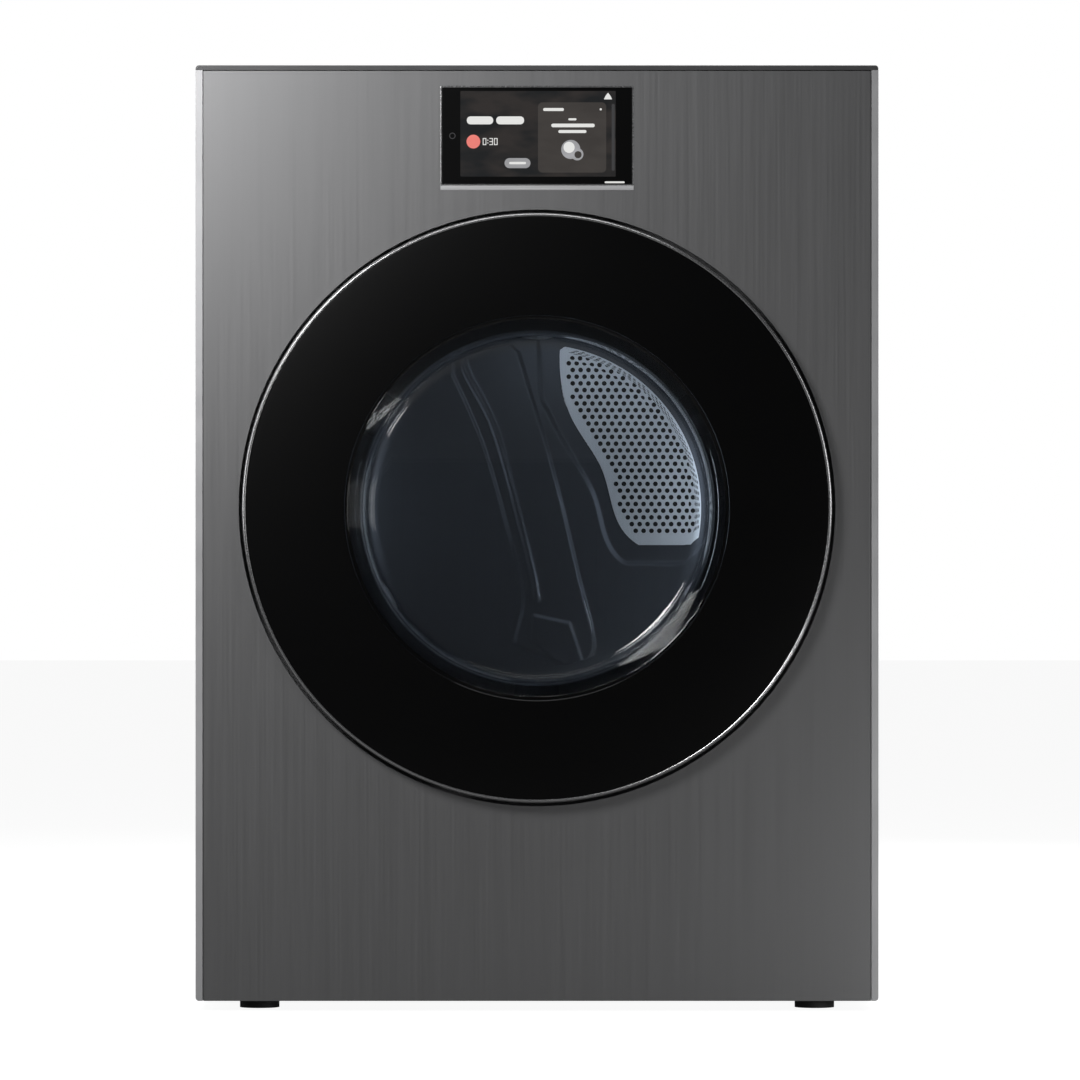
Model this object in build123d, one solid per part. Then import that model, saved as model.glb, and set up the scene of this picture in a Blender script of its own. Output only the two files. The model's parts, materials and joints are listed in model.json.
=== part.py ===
from build123d import *
import math
import os

# Front-loading vented clothes dryer. Millimetres; X to the right, -Y to the front, +Z up.
# The origin is the centre of the bounding box's bottom face: the floor, under the middle.

# ---------------------------------------------------------------- driving dimensions
WIDTH = 686.0                # across the side panels
PANEL_HEIGHT = 940.0         # front panel with the lid's front edge
PANEL_LIFT = 10.0            # panels' bottom edge above the floor
CABINET_DEPTH = 740.0        # front panel face to rear panel face
CORNER_ROUND = 3.5           # outer corners seen from the front
SHEET = 1.2                  # folded cabinet sheet
LID_HEIGHT = 5.0
SIDE_STRIP = 7.0             # front fold of each side panel
FLANGE = 16.0                # other folds
PANEL_GAP = 0.8              # shadow gap round the front panel
PANEL_FOLD = 14.0            # depth of the front panel's folded edge
BASE_LIFT = 14.0             # base pan's underside above the floor
BASE_FLANGE = 32.0

DOOR_RADIUS = 296.0
DOOR_TOP_MARGIN = 145.0      # panel top to the door opening's top
DOOR_GAP = 3.8               # dark gap round the door
DOOR_PROUD = 18.0            # crown of the door glass in front of the panel
DOOR_DOME = 4.0              # rise of the crown over the door's edge
TRIM_WIDTH = 3.6
TRIM_ROUND = 3.0
TRIM_BACK = 2.0              # trim ring's back edge behind the panel face
RING_WIDTH = 103.0           # door edge to the window
GLASS = 3.0
BOWL_GLASS = 4.0
BOWL_LAP = 6.0               # bowl's flange past the frame's inner wall
BOWL_DEPTH = 62.0            # deepest point of the bowl behind the panel face
BOWL_TAPER = 18.0            # how much the bowl's wall narrows
BOWL_CROWN = 6.2             # how far the bowl's bottom bulges
DOOR_BACK = 30.0             # door frame's back behind the panel face
PLASTIC = 2.5
FRAME_EDGE = 5.0             # frame's outer wall inside the door's edge
FRAME_LAP = 4.0              # frame's inner wall outside the window
GLUE = 0.5                   # glue line between the ring glass and the bowl
RECESS_DEPTH = 34.0          # recess floor behind the panel face
THROAT_MARGIN = 29.0         # throat radius over the window radius

HINGE_INSET = 16.0           # pin axis inside the door's edge
HINGE_DEPTH = -6.0           # pin axis behind the panel face
PIN_RADIUS = 3.0
KNUCKLE_RADIUS = 5.0
KNUCKLE_HALF = 29.7          # half length of the knuckle along the pin
HINGE_HALF = 25.0            # half width of the bracket
ARM_REACH = 23.0             # pin axis to the far side of the bracket's leg
LEAF = 4.0                   # bracket thickness
EAR = 3.0
POCKET_GAP = 4.0             # frame's pocket past the hinge plate
LEAF_WIDTH = 40.0            # hinge plate's flange on the frame
BRACKET_FOOT = 13.0          # bracket's foot past the pin axis
HINGE_SCREW_OUT = 6.0        # bracket screws past the pin axis
LATCH_INSET = 34.0           # latch line inside the door's edge
STRIKE_HOOK = 14.0
PLUNGER_RADIUS = 5.0
PLUNGER_RISE = 26.0          # plunger above the strike
PLUNGER_TRAVEL = 3.0

DRUM_RADIUS = 325.0
DRUM_SHEET = 1.5
DRUM_TAIL = 9.0              # drum's rear edge in front of the rear bulkhead
DRUM_NECK = 19.0             # neck length in front of the drum's front wall
BULKHEAD_SETBACK = 53.0      # front bulkhead behind the panel face
NECK_GAP = 0.6               # neck ring off the recess's collar
NECK_LENGTH = 46.5           # bulkhead ring behind the bulkhead plate
FRONT_FELT = 7.4
REAR_FELT = 4.2
LENS_RADIUS = 10.0
LENS_SETBACK = 7.0           # lens edge behind the front bulkhead
REAR_SPACE = 48.5            # rear bulkhead to the rear panel face
PLATEAU_RISE = 35.0          # rear bulkhead's round plateau into the drum
LIFTER_HEIGHT = 60.0
LIFTER_HALF = 38.0
LIFTER_NOSE = 12.0
LIFTER_FOOT = 8.0
LIFTER_MARGIN = 50.0         # lifter ends short of the drum's ends
BAND_RISE = 5.0              # embossed band on the plateau
GRILLE_RADIUS = 226.0
GRILLE_EDGE = 9.0
GRILLE_SHEET = 1.2
HOLE_RADIUS = 2.6
HOLE_PITCH_X = 8.7
HOLE_PITCH_Z = 7.4

ROLLER_RADIUS = 38.0
ROLLER_WIDTH = 22.0
ROLLER_ANGLE = 45.0          # either side of straight down
ROLLER_FRONT_INSET = 4.0     # rollers inside the drum's front and rear edges
ROLLER_REAR_INSET = 12.0
ROLLER_RIM = 6.0
ROLLER_WEB = 4.0
AXLE_RADIUS = 6.0
AXLE_COLLAR = 3.0
BELT_Y = 325.0               # belt plane behind the panel face
BELT_WIDTH = 10.0
BELT_THICK = 2.5

MOTOR_X = -190.0
MOTOR_Z = 105.0
MOTOR_RADIUS = 58.0
MOTOR_WALL = 4.0
MOTOR_FRONT = 180.0          # behind the panel face
MOTOR_LENGTH = 110.0
MOTOR_ROUND = 8.0
CRADLE_INSET = 10.0          # cradles inside the motor's ends
CRADLE_HALF = 50.0
CRADLE_DROP = 20.0           # cradle's top below the motor's axis
SHAFT_RADIUS = 6.0
PULLEY_RADIUS = 14.0
PULLEY_LIP = 1.5             # pulley flange above its tread
PULLEY_SIDE = 2.0            # pulley face outside the belt's edge
BELT_ROOM = 0.5              # pulley flange off the belt's edge
SHAFT_END = 5.0              # shafts past the belt's edge
IDLER_RADIUS = 24.0
IDLER_X = -222.0
IDLER_Z = 175.0
IDLER_PIVOT_X = -255.0
IDLER_PIVOT_Z = 85.0
ARM_THICK = 3.0
ARM_HALF = 11.0
SPRING_REACH = 36.0          # arm pivot to the spring
SPRING_RADIUS = 5.0
SPRING_WIRE = 0.8
SPRING_TURNS = 14
SPRING_SEAT = 4.0            # spring's ends off the base and the lug

BLOWER_FRONT = 90.0          # behind the panel face
BLOWER_DEPTH = 68.0
BLOWER_RADIUS = 88.0
BLOWER_WALL = 2.0
INLET_RADIUS = 50.0
WHEEL_RADIUS = 74.0
WHEEL_BLADES = 24
WHEEL_FRONT_GAP = 6.0        # wheel inside the housing's faces
WHEEL_BACK_GAP = 10.0
WHEEL_SHEET = 2.0
HUB_LENGTH = 22.0
BLADE_HALF = 0.8
SPIGOT_MARGIN = 8.0          # housing round the exhaust spigot
EXHAUST_RADIUS = 50.8
EXHAUST_WALL = 1.2
EXHAUST_X = 0.0
EXHAUST_Z = 90.0
COLLAR_LENGTH = 48.0

HEATER_SIDE = 14.0           # heater duct clear of the exhaust duct
HEATER_LAP = 8.0             # heater duct past the inlet grille
HEATER_LIFT = 10.0           # its lower end above the base pan's flange
HEATER_SHOULDER = 50.0       # its wide part starts below the drum's axis
HEATER_TOP = 235.0           # its top above the drum's axis
HEATER_LEFT = 10.0           # wide part's left side
HEATER_BACK = 6.0            # its back in front of the rear panel face
COIL_RUNS = 8
COIL_ROD = 3.0
COIL_INSET = 24.0            # rod's bends inside the duct's sides
COIL_START = 70.0            # lowest run above the duct's lower end
INSULATOR = 6.0
COIL_PITCH = 26.0

FILTER_HALF = 110.0          # half width of the lint filter
FILTER_THICK = 9.4
FILTER_HEIGHT = 130.0
FILTER_SLOT_Y = 66.0         # filter's front face behind the panel face
FUNNEL_DEPTH = 20.0
FUNNEL_WALL = 1.5
FUNNEL_MARGIN = 12.0         # funnel round the blower's inlet
FILTER_RIB = 8.0
FILTER_GRIP = 44.0           # solid part under the filter's curved top
FILTER_DROP = 6.0            # filter's top corners below the neck ring
FILTER_CELLS = 4

DISPLAY_WIDTH = 194.0
DISPLAY_HEIGHT = 100.0
DISPLAY_DROP = 71.0          # lid's top to the display's centre
BEZEL_EDGE = 1.4
BEZEL_DEPTH = 9.0
SCREEN_GLASS = 2.0
DISPLAY_MODULE_DEPTH = 8.0
BOARD_STANDOFF = 8.0
BOARD_THICK = 1.6
BOARD_PARTS = ((-45, 8, 36, 36, 6), (10, -10, 24, 18, 10), (50, 12, 20, 26, 14))  # x, z, w, h, depth

FOOT_INSET = 62.0
FOOT_RADIUS = 20.0
FOOT_PAD = 8.0
STUD_RADIUS = 5.0
FOOT_TRAVEL = 15.0

SCREW_RADIUS = 2.0
SCREW_HEAD = 4.2
SCREW_HEAD_HEIGHT = 2.2
SCREW_ROWS = 5
CORD_HOLE_RADIUS = 11.0
BRACKET_HOLE_RADIUS = 2.6
BRACKET_SPACING = 560.0
BRACKET_RISE = 60.0
TERMINAL_HALF_X = 42.0
TERMINAL_HALF_Z = 30.0
COVER_EDGE = 8.0             # cover past the terminal opening
COVER_DEPTH = 12.0
POST_PITCH = 22.0
LOUVRE_X = -60.0
LOUVRE_LENGTH = 80.0
LOUVRE_WIDTH = 6.0
LOUVRE_PITCH = 14.0
LOUVRE_DROP = 110.0
LOUVRE_COLUMNS = 3
LOUVRE_ROWS = 6

RUNNING = 0.06               # radial clearance of a shaft in its bore
MOVING = 0.3                 # gap between pieces that move past each other
SEAT = 0.1                   # gap between curved pieces that are fixed together

# ---------------------------------------------------------------- derived places
TOTAL_DEPTH = DOOR_PROUD + CABINET_DEPTH + COLLAR_LENGTH
FRONT_Y = DOOR_PROUD - TOTAL_DEPTH / 2
REAR_Y = FRONT_Y + CABINET_DEPTH
TOP_Z = PANEL_LIFT + PANEL_HEIGHT
HALF = WIDTH / 2
INNER = HALF - SHEET
SHOULDER_Z = TOP_Z - LID_HEIGHT

OPENING = DOOR_RADIUS + DOOR_GAP
AXIS_Z = TOP_Z - DOOR_TOP_MARGIN - OPENING
EDGE_FRONT = DOOR_DOME - DOOR_PROUD
TRIM_INNER = DOOR_RADIUS - TRIM_WIDTH
WINDOW = DOOR_RADIUS - RING_WIDTH
THROAT = WINDOW + THROAT_MARGIN
FRAME_OUTER = DOOR_RADIUS - FRAME_EDGE
FRAME_INNER = WINDOW + FRAME_LAP
BOWL_SEAT = FRONT_Y + EDGE_FRONT + GLASS - DOOR_DOME + GLUE
HINGE_X = DOOR_RADIUS - HINGE_INSET
LATCH_X = LATCH_INSET - DOOR_RADIUS
EAR_LOW = KNUCKLE_HALF + MOVING
EAR_HIGH = EAR_LOW + EAR
POCKET_HALF = EAR_HIGH + POCKET_GAP

BULKHEAD_Y = FRONT_Y + BULKHEAD_SETBACK
NECK_RING = THROAT + SHEET + NECK_GAP
LENS_Y = BULKHEAD_Y + SHEET + LENS_RADIUS + LENS_SETBACK
FELT_INNER = NECK_RING + SHEET
FELT_OUTER = FELT_INNER + FRONT_FELT
DRUM_NECK_INNER = FELT_OUTER + MOVING
DRUM_FRONT = BULKHEAD_Y + NECK_LENGTH + SHEET
DRUM_REAR = REAR_Y - REAR_SPACE - DRUM_TAIL
REAR_PLATE_Y = REAR_Y - REAR_SPACE
PLATEAU_Y = REAR_PLATE_Y - PLATEAU_RISE
DRUM_INNER = DRUM_RADIUS - DRUM_SHEET
PLATEAU_RADIUS = DRUM_INNER - MOVING - REAR_FELT
BELT_MID = FRONT_Y + BELT_Y
ROLLER_PITCH = DRUM_RADIUS + MOVING + ROLLER_RADIUS
ROLLER_X = ROLLER_PITCH * math.sin(math.radians(ROLLER_ANGLE))
ROLLER_Z = AXIS_Z - ROLLER_PITCH * math.cos(math.radians(ROLLER_ANGLE))
FRONT_ROLLER_Y = DRUM_FRONT + ROLLER_FRONT_INSET
REAR_ROLLER_Y = DRUM_REAR - ROLLER_REAR_INSET - ROLLER_WIDTH
BLOWER_Y = FRONT_Y + BLOWER_FRONT
BLOWER_BACK = BLOWER_Y + BLOWER_DEPTH
MOTOR_Y = FRONT_Y + MOTOR_FRONT
MOTOR_BACK = MOTOR_Y + MOTOR_LENGTH
FILTER_Y = FRONT_Y + FILTER_SLOT_Y
FUNNEL_Y = FILTER_Y + FILTER_THICK / 2 - FUNNEL_DEPTH / 2
FUNNEL_BACK = FUNNEL_Y + FUNNEL_DEPTH
DISPLAY_Z = TOP_Z - DISPLAY_DROP
FOOT_X = HALF - FOOT_INSET
FOOT_FRONT = FRONT_Y + FOOT_INSET
FOOT_REAR = REAR_Y - FOOT_INSET
BASE_TOP = BASE_LIFT + SHEET
BOSS_TOP = BASE_LIFT + 3.2 * STUD_RADIUS


# ---------------------------------------------------------------- helpers
def block(x, y, z):
    """Box between a low and a high value on each axis."""
    centre = Pos((x[0] + x[1]) / 2, (y[0] + y[1]) / 2, (z[0] + z[1]) / 2)
    return centre * Box(x[1] - x[0], y[1] - y[0], z[1] - z[0])


def rod(radius, x, z, y):
    """Cylinder along Y through (x, z), from y[0] to y[1]."""
    return Pos(x, (y[0] + y[1]) / 2, z) * Rot(90, 0, 0) * Cylinder(radius, y[1] - y[0])


def tube(outer, inner, x, z, y):
    return rod(outer, x, z, y) - rod(inner, x, z, y)


def pillar(radius, x, y, z):
    """Cylinder along Z through (x, y), from z[0] to z[1]."""
    return Pos(x, y, (z[0] + z[1]) / 2) * Cylinder(radius, z[1] - z[0])


def turned(profile, x=0.0, z=AXIS_Z):
    """Solid turned about the line along Y through (x, z) from a (radius, y) face."""
    return Pos(x, 0, z) * revolve(profile, Axis.Y)


def outline(*points):
    return make_face(Polyline(*points, close=True))


def plate(face, y):
    """Plate between y[0] and y[1] from a face drawn in (x, z)."""
    return Pos(0, y[1], 0) * Rot(90, 0, 0) * extrude(face, y[1] - y[0])


def loop(*circles):
    """Face inside the tight loop round circles given as (radius, x, z)."""
    edges = [edge for r, x, z in circles for edge in (Pos(x, z) * Circle(r)).edges()]
    return make_hull(edges)


def behind(depth):
    """Y of a plane at this depth behind the front panel's face."""
    return FRONT_Y + depth


NODES = {}


# ---------------------------------------------------------------- cabinet
def rear_screw_places():
    """(x, z) of the screws that hold the rear panel to the side panels' rear folds."""
    low, high = PANEL_LIFT + 3 * FLANGE, SHOULDER_Z - 3 * FLANGE
    step = (high - low) / (SCREW_ROWS - 1)
    return [(side * (HALF - FLANGE / 2), low + step * row) for side in (-1, 1) for row in range(SCREW_ROWS)]


def side_panel(side):
    """Folded side panel: its front fold is the strip seen beside the front panel."""
    outer = block((HALF - FLANGE, HALF), (FRONT_Y, REAR_Y - SHEET), (PANEL_LIFT, SHOULDER_Z))
    corner = outer.edges().filter_by(Axis.Y).sort_by(lambda e: e.center().Z - e.center().X)[0]
    outer = fillet(corner, CORNER_ROUND)
    hollow = block((HALF - 2 * FLANGE, INNER), (FRONT_Y + SHEET, REAR_Y - 2 * SHEET),
                   (PANEL_LIFT + SHEET, SHOULDER_Z - SHEET))
    corner = hollow.edges().filter_by(Axis.Y).sort_by(lambda e: e.center().Z - e.center().X)[0]
    hollow = fillet(corner, CORNER_ROUND - SHEET)
    panel = outer - hollow
    panel -= block((HALF - 2 * FLANGE, HALF - SIDE_STRIP), (FRONT_Y - 1, FRONT_Y + SHEET),
                   (PANEL_LIFT - 1, SHOULDER_Z + 1))
    panel -= block((HALF - 2 * FLANGE, HALF - SIDE_STRIP), (FRONT_Y - 1, REAR_Y),
                   (PANEL_LIFT - 1, PANEL_LIFT + SHEET))
    panel -= block((HALF - 2 * FLANGE, HALF - SIDE_STRIP), (FRONT_Y - 1, FRONT_Y + PANEL_FOLD + PANEL_GAP),
                   (SHOULDER_Z - 2 * SHEET, SHOULDER_Z + 1))
    for x, z in rear_screw_places():
        if x > 0:
            panel -= rod(SCREW_RADIUS + SEAT, x, z, (REAR_Y - 3 * SHEET, REAR_Y))
    return panel if side > 0 else mirror(panel, Plane.YZ)


def top_panel():
    """Shallow lid that rests on the side panels' top folds."""
    outer = block((-HALF, HALF), (FRONT_Y, REAR_Y), (SHOULDER_Z, TOP_Z))
    edges = outer.edges().filter_by(Axis.Y).group_by(Axis.Z)[-1]
    outer = fillet(edges, CORNER_ROUND)
    front = outer.faces().sort_by(Axis.Z)[-1].edges().filter_by(Axis.X)
    outer = fillet(front, SHEET)
    hollow = block((-INNER, INNER), (FRONT_Y + SHEET, REAR_Y - SHEET), (SHOULDER_Z - 1, TOP_Z - SHEET))
    edges = hollow.edges().filter_by(Axis.Y).group_by(Axis.Z)[-1]
    return outer - fillet(edges, CORNER_ROUND - SHEET)


def front_panel():
    """Folded front sheet with the door opening and the display cut-out."""
    half = HALF - SIDE_STRIP - PANEL_GAP
    bottom, top = PANEL_LIFT, SHOULDER_Z - PANEL_GAP
    panel = block((-half, half), (FRONT_Y, FRONT_Y + PANEL_FOLD), (bottom, top))
    panel -= block((SHEET - half, half - SHEET), (FRONT_Y + SHEET, FRONT_Y + 2 * PANEL_FOLD),
                   (bottom + SHEET, top - SHEET))
    panel -= rod(OPENING, 0, AXIS_Z, (FRONT_Y - 1, FRONT_Y + 2 * SHEET))
    width, height = DISPLAY_WIDTH / 2 + SEAT, DISPLAY_HEIGHT / 2 + SEAT
    return panel - block((-width, width), (FRONT_Y - 1, FRONT_Y + 2 * SHEET),
                         (DISPLAY_Z - height, DISPLAY_Z + height))


def base_pan():
    """Folded floor of the cabinet with a threaded boss over each foot."""
    y = (FRONT_Y + PANEL_FOLD + 1, REAR_Y - FLANGE)
    pan = block((-INNER, INNER), y, (BASE_LIFT, BASE_LIFT + BASE_FLANGE))
    pan -= block((SHEET - INNER, INNER - SHEET), (y[0] + SHEET, y[1] - SHEET),
                 (BASE_TOP, BASE_LIFT + 2 * BASE_FLANGE))
    for x, foot_y in foot_places():
        pan += pillar(2.4 * STUD_RADIUS, x, foot_y, (BASE_LIFT, BOSS_TOP))
        pan -= pillar(STUD_RADIUS + RUNNING, x, foot_y, (0, 2 * BASE_FLANGE))
    return pan - rod(EXHAUST_RADIUS + 1, EXHAUST_X, EXHAUST_Z, (y[1] - 2 * SHEET, y[1] + 1))


def rear_panel():
    """Flat back with the exhaust hole, louvres, cord hole and stacking-bracket holes."""
    y = (REAR_Y - SHEET, REAR_Y)
    through = (REAR_Y - 2 * SHEET, REAR_Y + 1)
    panel = block((-INNER, INNER), y, (PANEL_LIFT, SHOULDER_Z - SEAT))
    panel -= rod(EXHAUST_RADIUS + 1, EXHAUST_X, EXHAUST_Z, through)
    for x, z in rear_screw_places():
        panel -= rod(SCREW_RADIUS + SEAT, x, z, through)
    for x, z in bracket_places():
        panel -= rod(BRACKET_HOLE_RADIUS, x, z, through)
    x, z = terminal_place()
    panel -= rod(CORD_HOLE_RADIUS, x, z - TERMINAL_HALF_Z - 2 * CORD_HOLE_RADIUS, through)
    panel -= block((x - TERMINAL_HALF_X, x + TERMINAL_HALF_X), through,
                   (z - TERMINAL_HALF_Z, z + TERMINAL_HALF_Z))
    slot = Rot(90, 0, 0) * extrude(SlotOverall(LOUVRE_LENGTH, LOUVRE_WIDTH), 4 * SHEET, both=True)
    for column in range(LOUVRE_COLUMNS):
        for row in range(LOUVRE_ROWS):
            x = LOUVRE_X + (column - (LOUVRE_COLUMNS - 1) / 2) * LOUVRE_LENGTH * 1.3
            panel -= Pos(x, REAR_Y, SHOULDER_Z - LOUVRE_DROP - row * LOUVRE_PITCH) * slot
    return panel


def terminal_place():
    """Middle of the terminal block's opening, high on the back's left, seen from behind."""
    return HALF - FLANGE - 3 * TERMINAL_HALF_X, SHOULDER_Z - 5 * TERMINAL_HALF_Z


def bracket_places():
    """Corners of the stacking bracket's hole pattern."""
    low = PANEL_LIFT + 3 * FLANGE
    return [(side * BRACKET_SPACING / 2, z) for side in (-1, 1) for z in (low, low + BRACKET_RISE)]


def terminal_cover():
    x, z = terminal_place()
    wide = (x - TERMINAL_HALF_X - COVER_EDGE, x + TERMINAL_HALF_X + COVER_EDGE)
    tall = (z - TERMINAL_HALF_Z - COVER_EDGE, z + TERMINAL_HALF_Z + COVER_EDGE)
    cover = block(wide, (REAR_Y, REAR_Y + COVER_DEPTH), tall)
    cover = fillet(cover.edges().filter_by(Axis.Y), 2 * SHEET)
    hollow = block((wide[0] + SHEET, wide[1] - SHEET), (REAR_Y - 1, REAR_Y + COVER_DEPTH - SHEET),
                   (tall[0] + SHEET, tall[1] - SHEET))
    return cover - hollow


def terminal_block():
    """Moulded block with three posts, on a foot behind the rear panel's opening."""
    x, z = terminal_place()
    wide = TERMINAL_HALF_X + 6
    body = block((x - wide, x + wide), (REAR_Y - SHEET - 4, REAR_Y - SHEET), (z + 4, z + 42))
    body += block((x - 34, x + 34), (REAR_Y - SHEET - 18, REAR_Y - SHEET - 4), (z + 8, z + 30))
    body -= block((x - 34, x + 34), (REAR_Y - SHEET - 9, REAR_Y), (z + 4 - 1, z + 26))
    for post in (-POST_PITCH, 0, POST_PITCH):
        body += rod(4, x + post, z + 17, (REAR_Y - SHEET - 18, REAR_Y - SHEET - 2))
    return body


def cabinet_screws():
    """Rear panel screws and the hinge bracket's two screws, as separate solids."""
    screws = []
    for x, z in rear_screw_places():
        head = rod(SCREW_HEAD, x, z, (REAR_Y, REAR_Y + SCREW_HEAD_HEIGHT))
        screws.append(head + rod(SCREW_RADIUS, x, z, (REAR_Y - 8, REAR_Y + 1)))
    for x, z in hinge_screw_places():
        face = behind(RECESS_DEPTH) - LEAF
        head = rod(SCREW_HEAD, x, z, (face - SCREW_HEAD_HEIGHT, face))
        screws.append(head + rod(SCREW_RADIUS, x, z, (face - 1, face + 12)))
    return Compound(children=screws)


# ---------------------------------------------------------------- bulkheads and recess
def door_recess():
    """Round pan between the front panel's opening and the drum throat."""
    floor = behind(RECESS_DEPTH)
    wall = OPENING + SHEET
    inner = THROAT + SHEET
    back = BULKHEAD_Y + 2 * SHEET
    recess = turned(outline((wall, behind(SHEET)), (wall + SHEET, behind(SHEET)),
                            (wall + SHEET, floor + SHEET), (inner, floor + SHEET), (inner, back),
                            (THROAT, back), (THROAT, floor), (wall, floor)))
    slot = STRIKE_HOOK / 2 + 3
    recess -= block((LATCH_X - 5, LATCH_X + 5), (floor - 1, floor + 2 * SHEET),
                    (AXIS_Z - slot, AXIS_Z + slot))
    recess -= rod(PLUNGER_RADIUS + MOVING, LATCH_X, AXIS_Z + PLUNGER_RISE, (floor - 1, floor + 2 * SHEET))
    for x, z in hinge_screw_places():
        recess -= rod(SCREW_RADIUS + SEAT, x, z, (floor - 1, floor + 2 * SHEET))
    return recess


def front_bulkhead():
    """Plate behind the recess with the ring that carries the front felt."""
    y = (BULKHEAD_Y, BULKHEAD_Y + SHEET)
    low, high = BASE_TOP + BASE_FLANGE, SHOULDER_Z - 2 * FLANGE
    half = INNER - SEAT
    panel = block((-half, half), (y[0], y[0] + FLANGE), (low, high))
    panel -= block((SHEET - half, half - SHEET), (y[1], y[1] + FLANGE), (low - 1, high - SHEET))
    panel += rod(NECK_RING + SHEET, 0, AXIS_Z, (y[0], DRUM_FRONT - SHEET))
    panel -= rod(NECK_RING, 0, AXIS_Z, (y[0] - 1, DRUM_FRONT))
    panel -= block((-FILTER_HALF - 1, FILTER_HALF + 1), (FUNNEL_Y, FUNNEL_BACK),
                   (AXIS_Z - 2 * THROAT, AXIS_Z - THROAT / 2))
    panel -= pillar(LENS_RADIUS + SEAT, 0, LENS_Y, (AXIS_Z + THROAT / 2, AXIS_Z + 2 * THROAT))
    for x in (-ROLLER_X, ROLLER_X):
        panel -= rod(AXLE_RADIUS / 2 + SEAT, x, ROLLER_Z, (y[0] - 1, y[1] + 1))
    return panel


def drum_lamp_lens():
    """Domed lamp lens that looks down into the drum through the neck ring."""
    seat = AXIS_Z + NECK_RING + SHEET
    lens = pillar(LENS_RADIUS, 0, LENS_Y, (seat - 2 * SHEET - 2, seat + 1))
    lens = fillet(lens.edges().group_by(Axis.Z)[0], 2)
    return lens + pillar(LENS_RADIUS - 4, 0, LENS_Y, (seat, seat + 8))


def sensor_bars():
    """Two curved steel strips inside the neck ring that feel damp laundry."""
    bars = []
    sweep_angle = 50.0
    first = DRUM_FRONT - 17
    for y in (first, first + 8):
        strip = outline((NECK_RING - SEAT, y), (NECK_RING - SEAT, y + 5),
                        (NECK_RING - 1.6, y + 5), (NECK_RING - 1.6, y))
        arc = revolve(strip, Axis.Y, sweep_angle)
        bars.append(Pos(0, 0, AXIS_Z) * Rot(0, 90 - sweep_angle / 2, 0) * arc)
    return Compound(children=bars)


def plateau_band():
    """Outline of the embossed air channel across the plateau, in (x, z) from the drum axis."""
    left = Spline((-97, 167), (-58, 80), (-30, -15), (-12, -92), (-21, -145))
    foot = Line((-21, -145), (40, -178))
    right = Spline((40, -178), (59, -150), (42, -73), (12, 50), (-24, 174))
    return make_face([left, foot, right, Line((-24, 174), (-97, 167))])


def grille_outline(inset=0.0):
    """Outline of the air inlet: a wavy left side, a flat bottom and an arc with the drum."""
    radius = GRILLE_RADIUS - inset
    top = (38 + inset, math.sqrt(radius ** 2 - (38 + inset) ** 2))
    low = (math.sqrt(radius ** 2 - (inset - 38) ** 2), inset - 38)
    middle = math.radians(35)
    left = Spline(top, (26 + inset, 145), (38 + inset, 102), (72 + inset, 44),
                  (92 + inset, -18), (112 + inset, low[1]))
    arc = ThreePointArc(low, (radius * math.cos(middle), radius * math.sin(middle)), top)
    return make_face([left, Line((112 + inset, low[1]), low), arc])


def grille_holes():
    """Centres of the staggered perforation that fit inside the grille's edge."""
    field = grille_outline(GRILLE_EDGE)
    places = []
    rows = math.ceil(GRILLE_RADIUS / HOLE_PITCH_Z)
    columns = math.ceil(GRILLE_RADIUS / HOLE_PITCH_X)
    for row in range(-rows // 3, rows):
        for column in range(columns):
            x = (column + 0.5 * (row % 2)) * HOLE_PITCH_X
            z = row * HOLE_PITCH_Z
            if field.face().is_inside((x, z, 0)):
                places.append((x, z))
    return places


def inlet_grille():
    """Perforated sheet over the air inlet, with a raised bead round it."""
    rim = grille_outline().face()
    holes = [(Pos(x, z) * Circle(HOLE_RADIUS)).edge() for x, z in grille_holes()]
    sheet = Face(rim.outer_wire(), [Wire([hole]) for hole in holes])
    grille = plate(sheet, (PLATEAU_Y - GRILLE_SHEET, PLATEAU_Y))
    bead = plate(grille_outline() - grille_outline(3.0), (PLATEAU_Y - 2.5 * GRILLE_SHEET, PLATEAU_Y))
    return Pos(0, 0, AXIS_Z) * (grille + bead)


def rear_bulkhead():
    """Plate behind the drum with a round plateau, the embossed band and the inlet opening."""
    low, high = BASE_TOP + BASE_FLANGE, SHOULDER_Z - 2 * FLANGE
    half = INNER - SEAT
    back = REAR_PLATE_Y + SHEET
    panel = block((-half, half), (REAR_PLATE_Y, back), (low, high))
    panel += rod(PLATEAU_RADIUS, 0, AXIS_Z, (PLATEAU_Y, back))
    panel -= rod(PLATEAU_RADIUS - SHEET, 0, AXIS_Z, (PLATEAU_Y + SHEET, back + 1))
    panel += Pos(0, 0, AXIS_Z) * plate(plateau_band(), (PLATEAU_Y - BAND_RISE, PLATEAU_Y + SHEET))
    opening = plate(grille_outline(GRILLE_EDGE - HOLE_RADIUS), (PLATEAU_Y - 1, PLATEAU_Y + 2 * SHEET))
    panel -= Pos(0, 0, AXIS_Z) * opening
    panel -= rod(EXHAUST_RADIUS + 1, EXHAUST_X, EXHAUST_Z, (REAR_PLATE_Y - 1, back + 1))
    for x in (-ROLLER_X, ROLLER_X):
        panel -= rod(AXLE_RADIUS / 2 + SEAT, x, ROLLER_Z, (REAR_PLATE_Y - 1, back + 1))
    return panel


def felt(inner, outer, y):
    return tube(outer, inner, 0, AXIS_Z, y)


# ---------------------------------------------------------------- display
def display_bezel():
    width, height = DISPLAY_WIDTH / 2, DISPLAY_HEIGHT / 2
    y = (FRONT_Y - 0.5, FRONT_Y - 0.5 + BEZEL_DEPTH)
    frame = block((-width, width), y, (DISPLAY_Z - height, DISPLAY_Z + height))
    width -= BEZEL_EDGE
    height -= BEZEL_EDGE
    return frame - block((-width, width), (y[0] - 1, y[1] + 1), (DISPLAY_Z - height, DISPLAY_Z + height))


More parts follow.
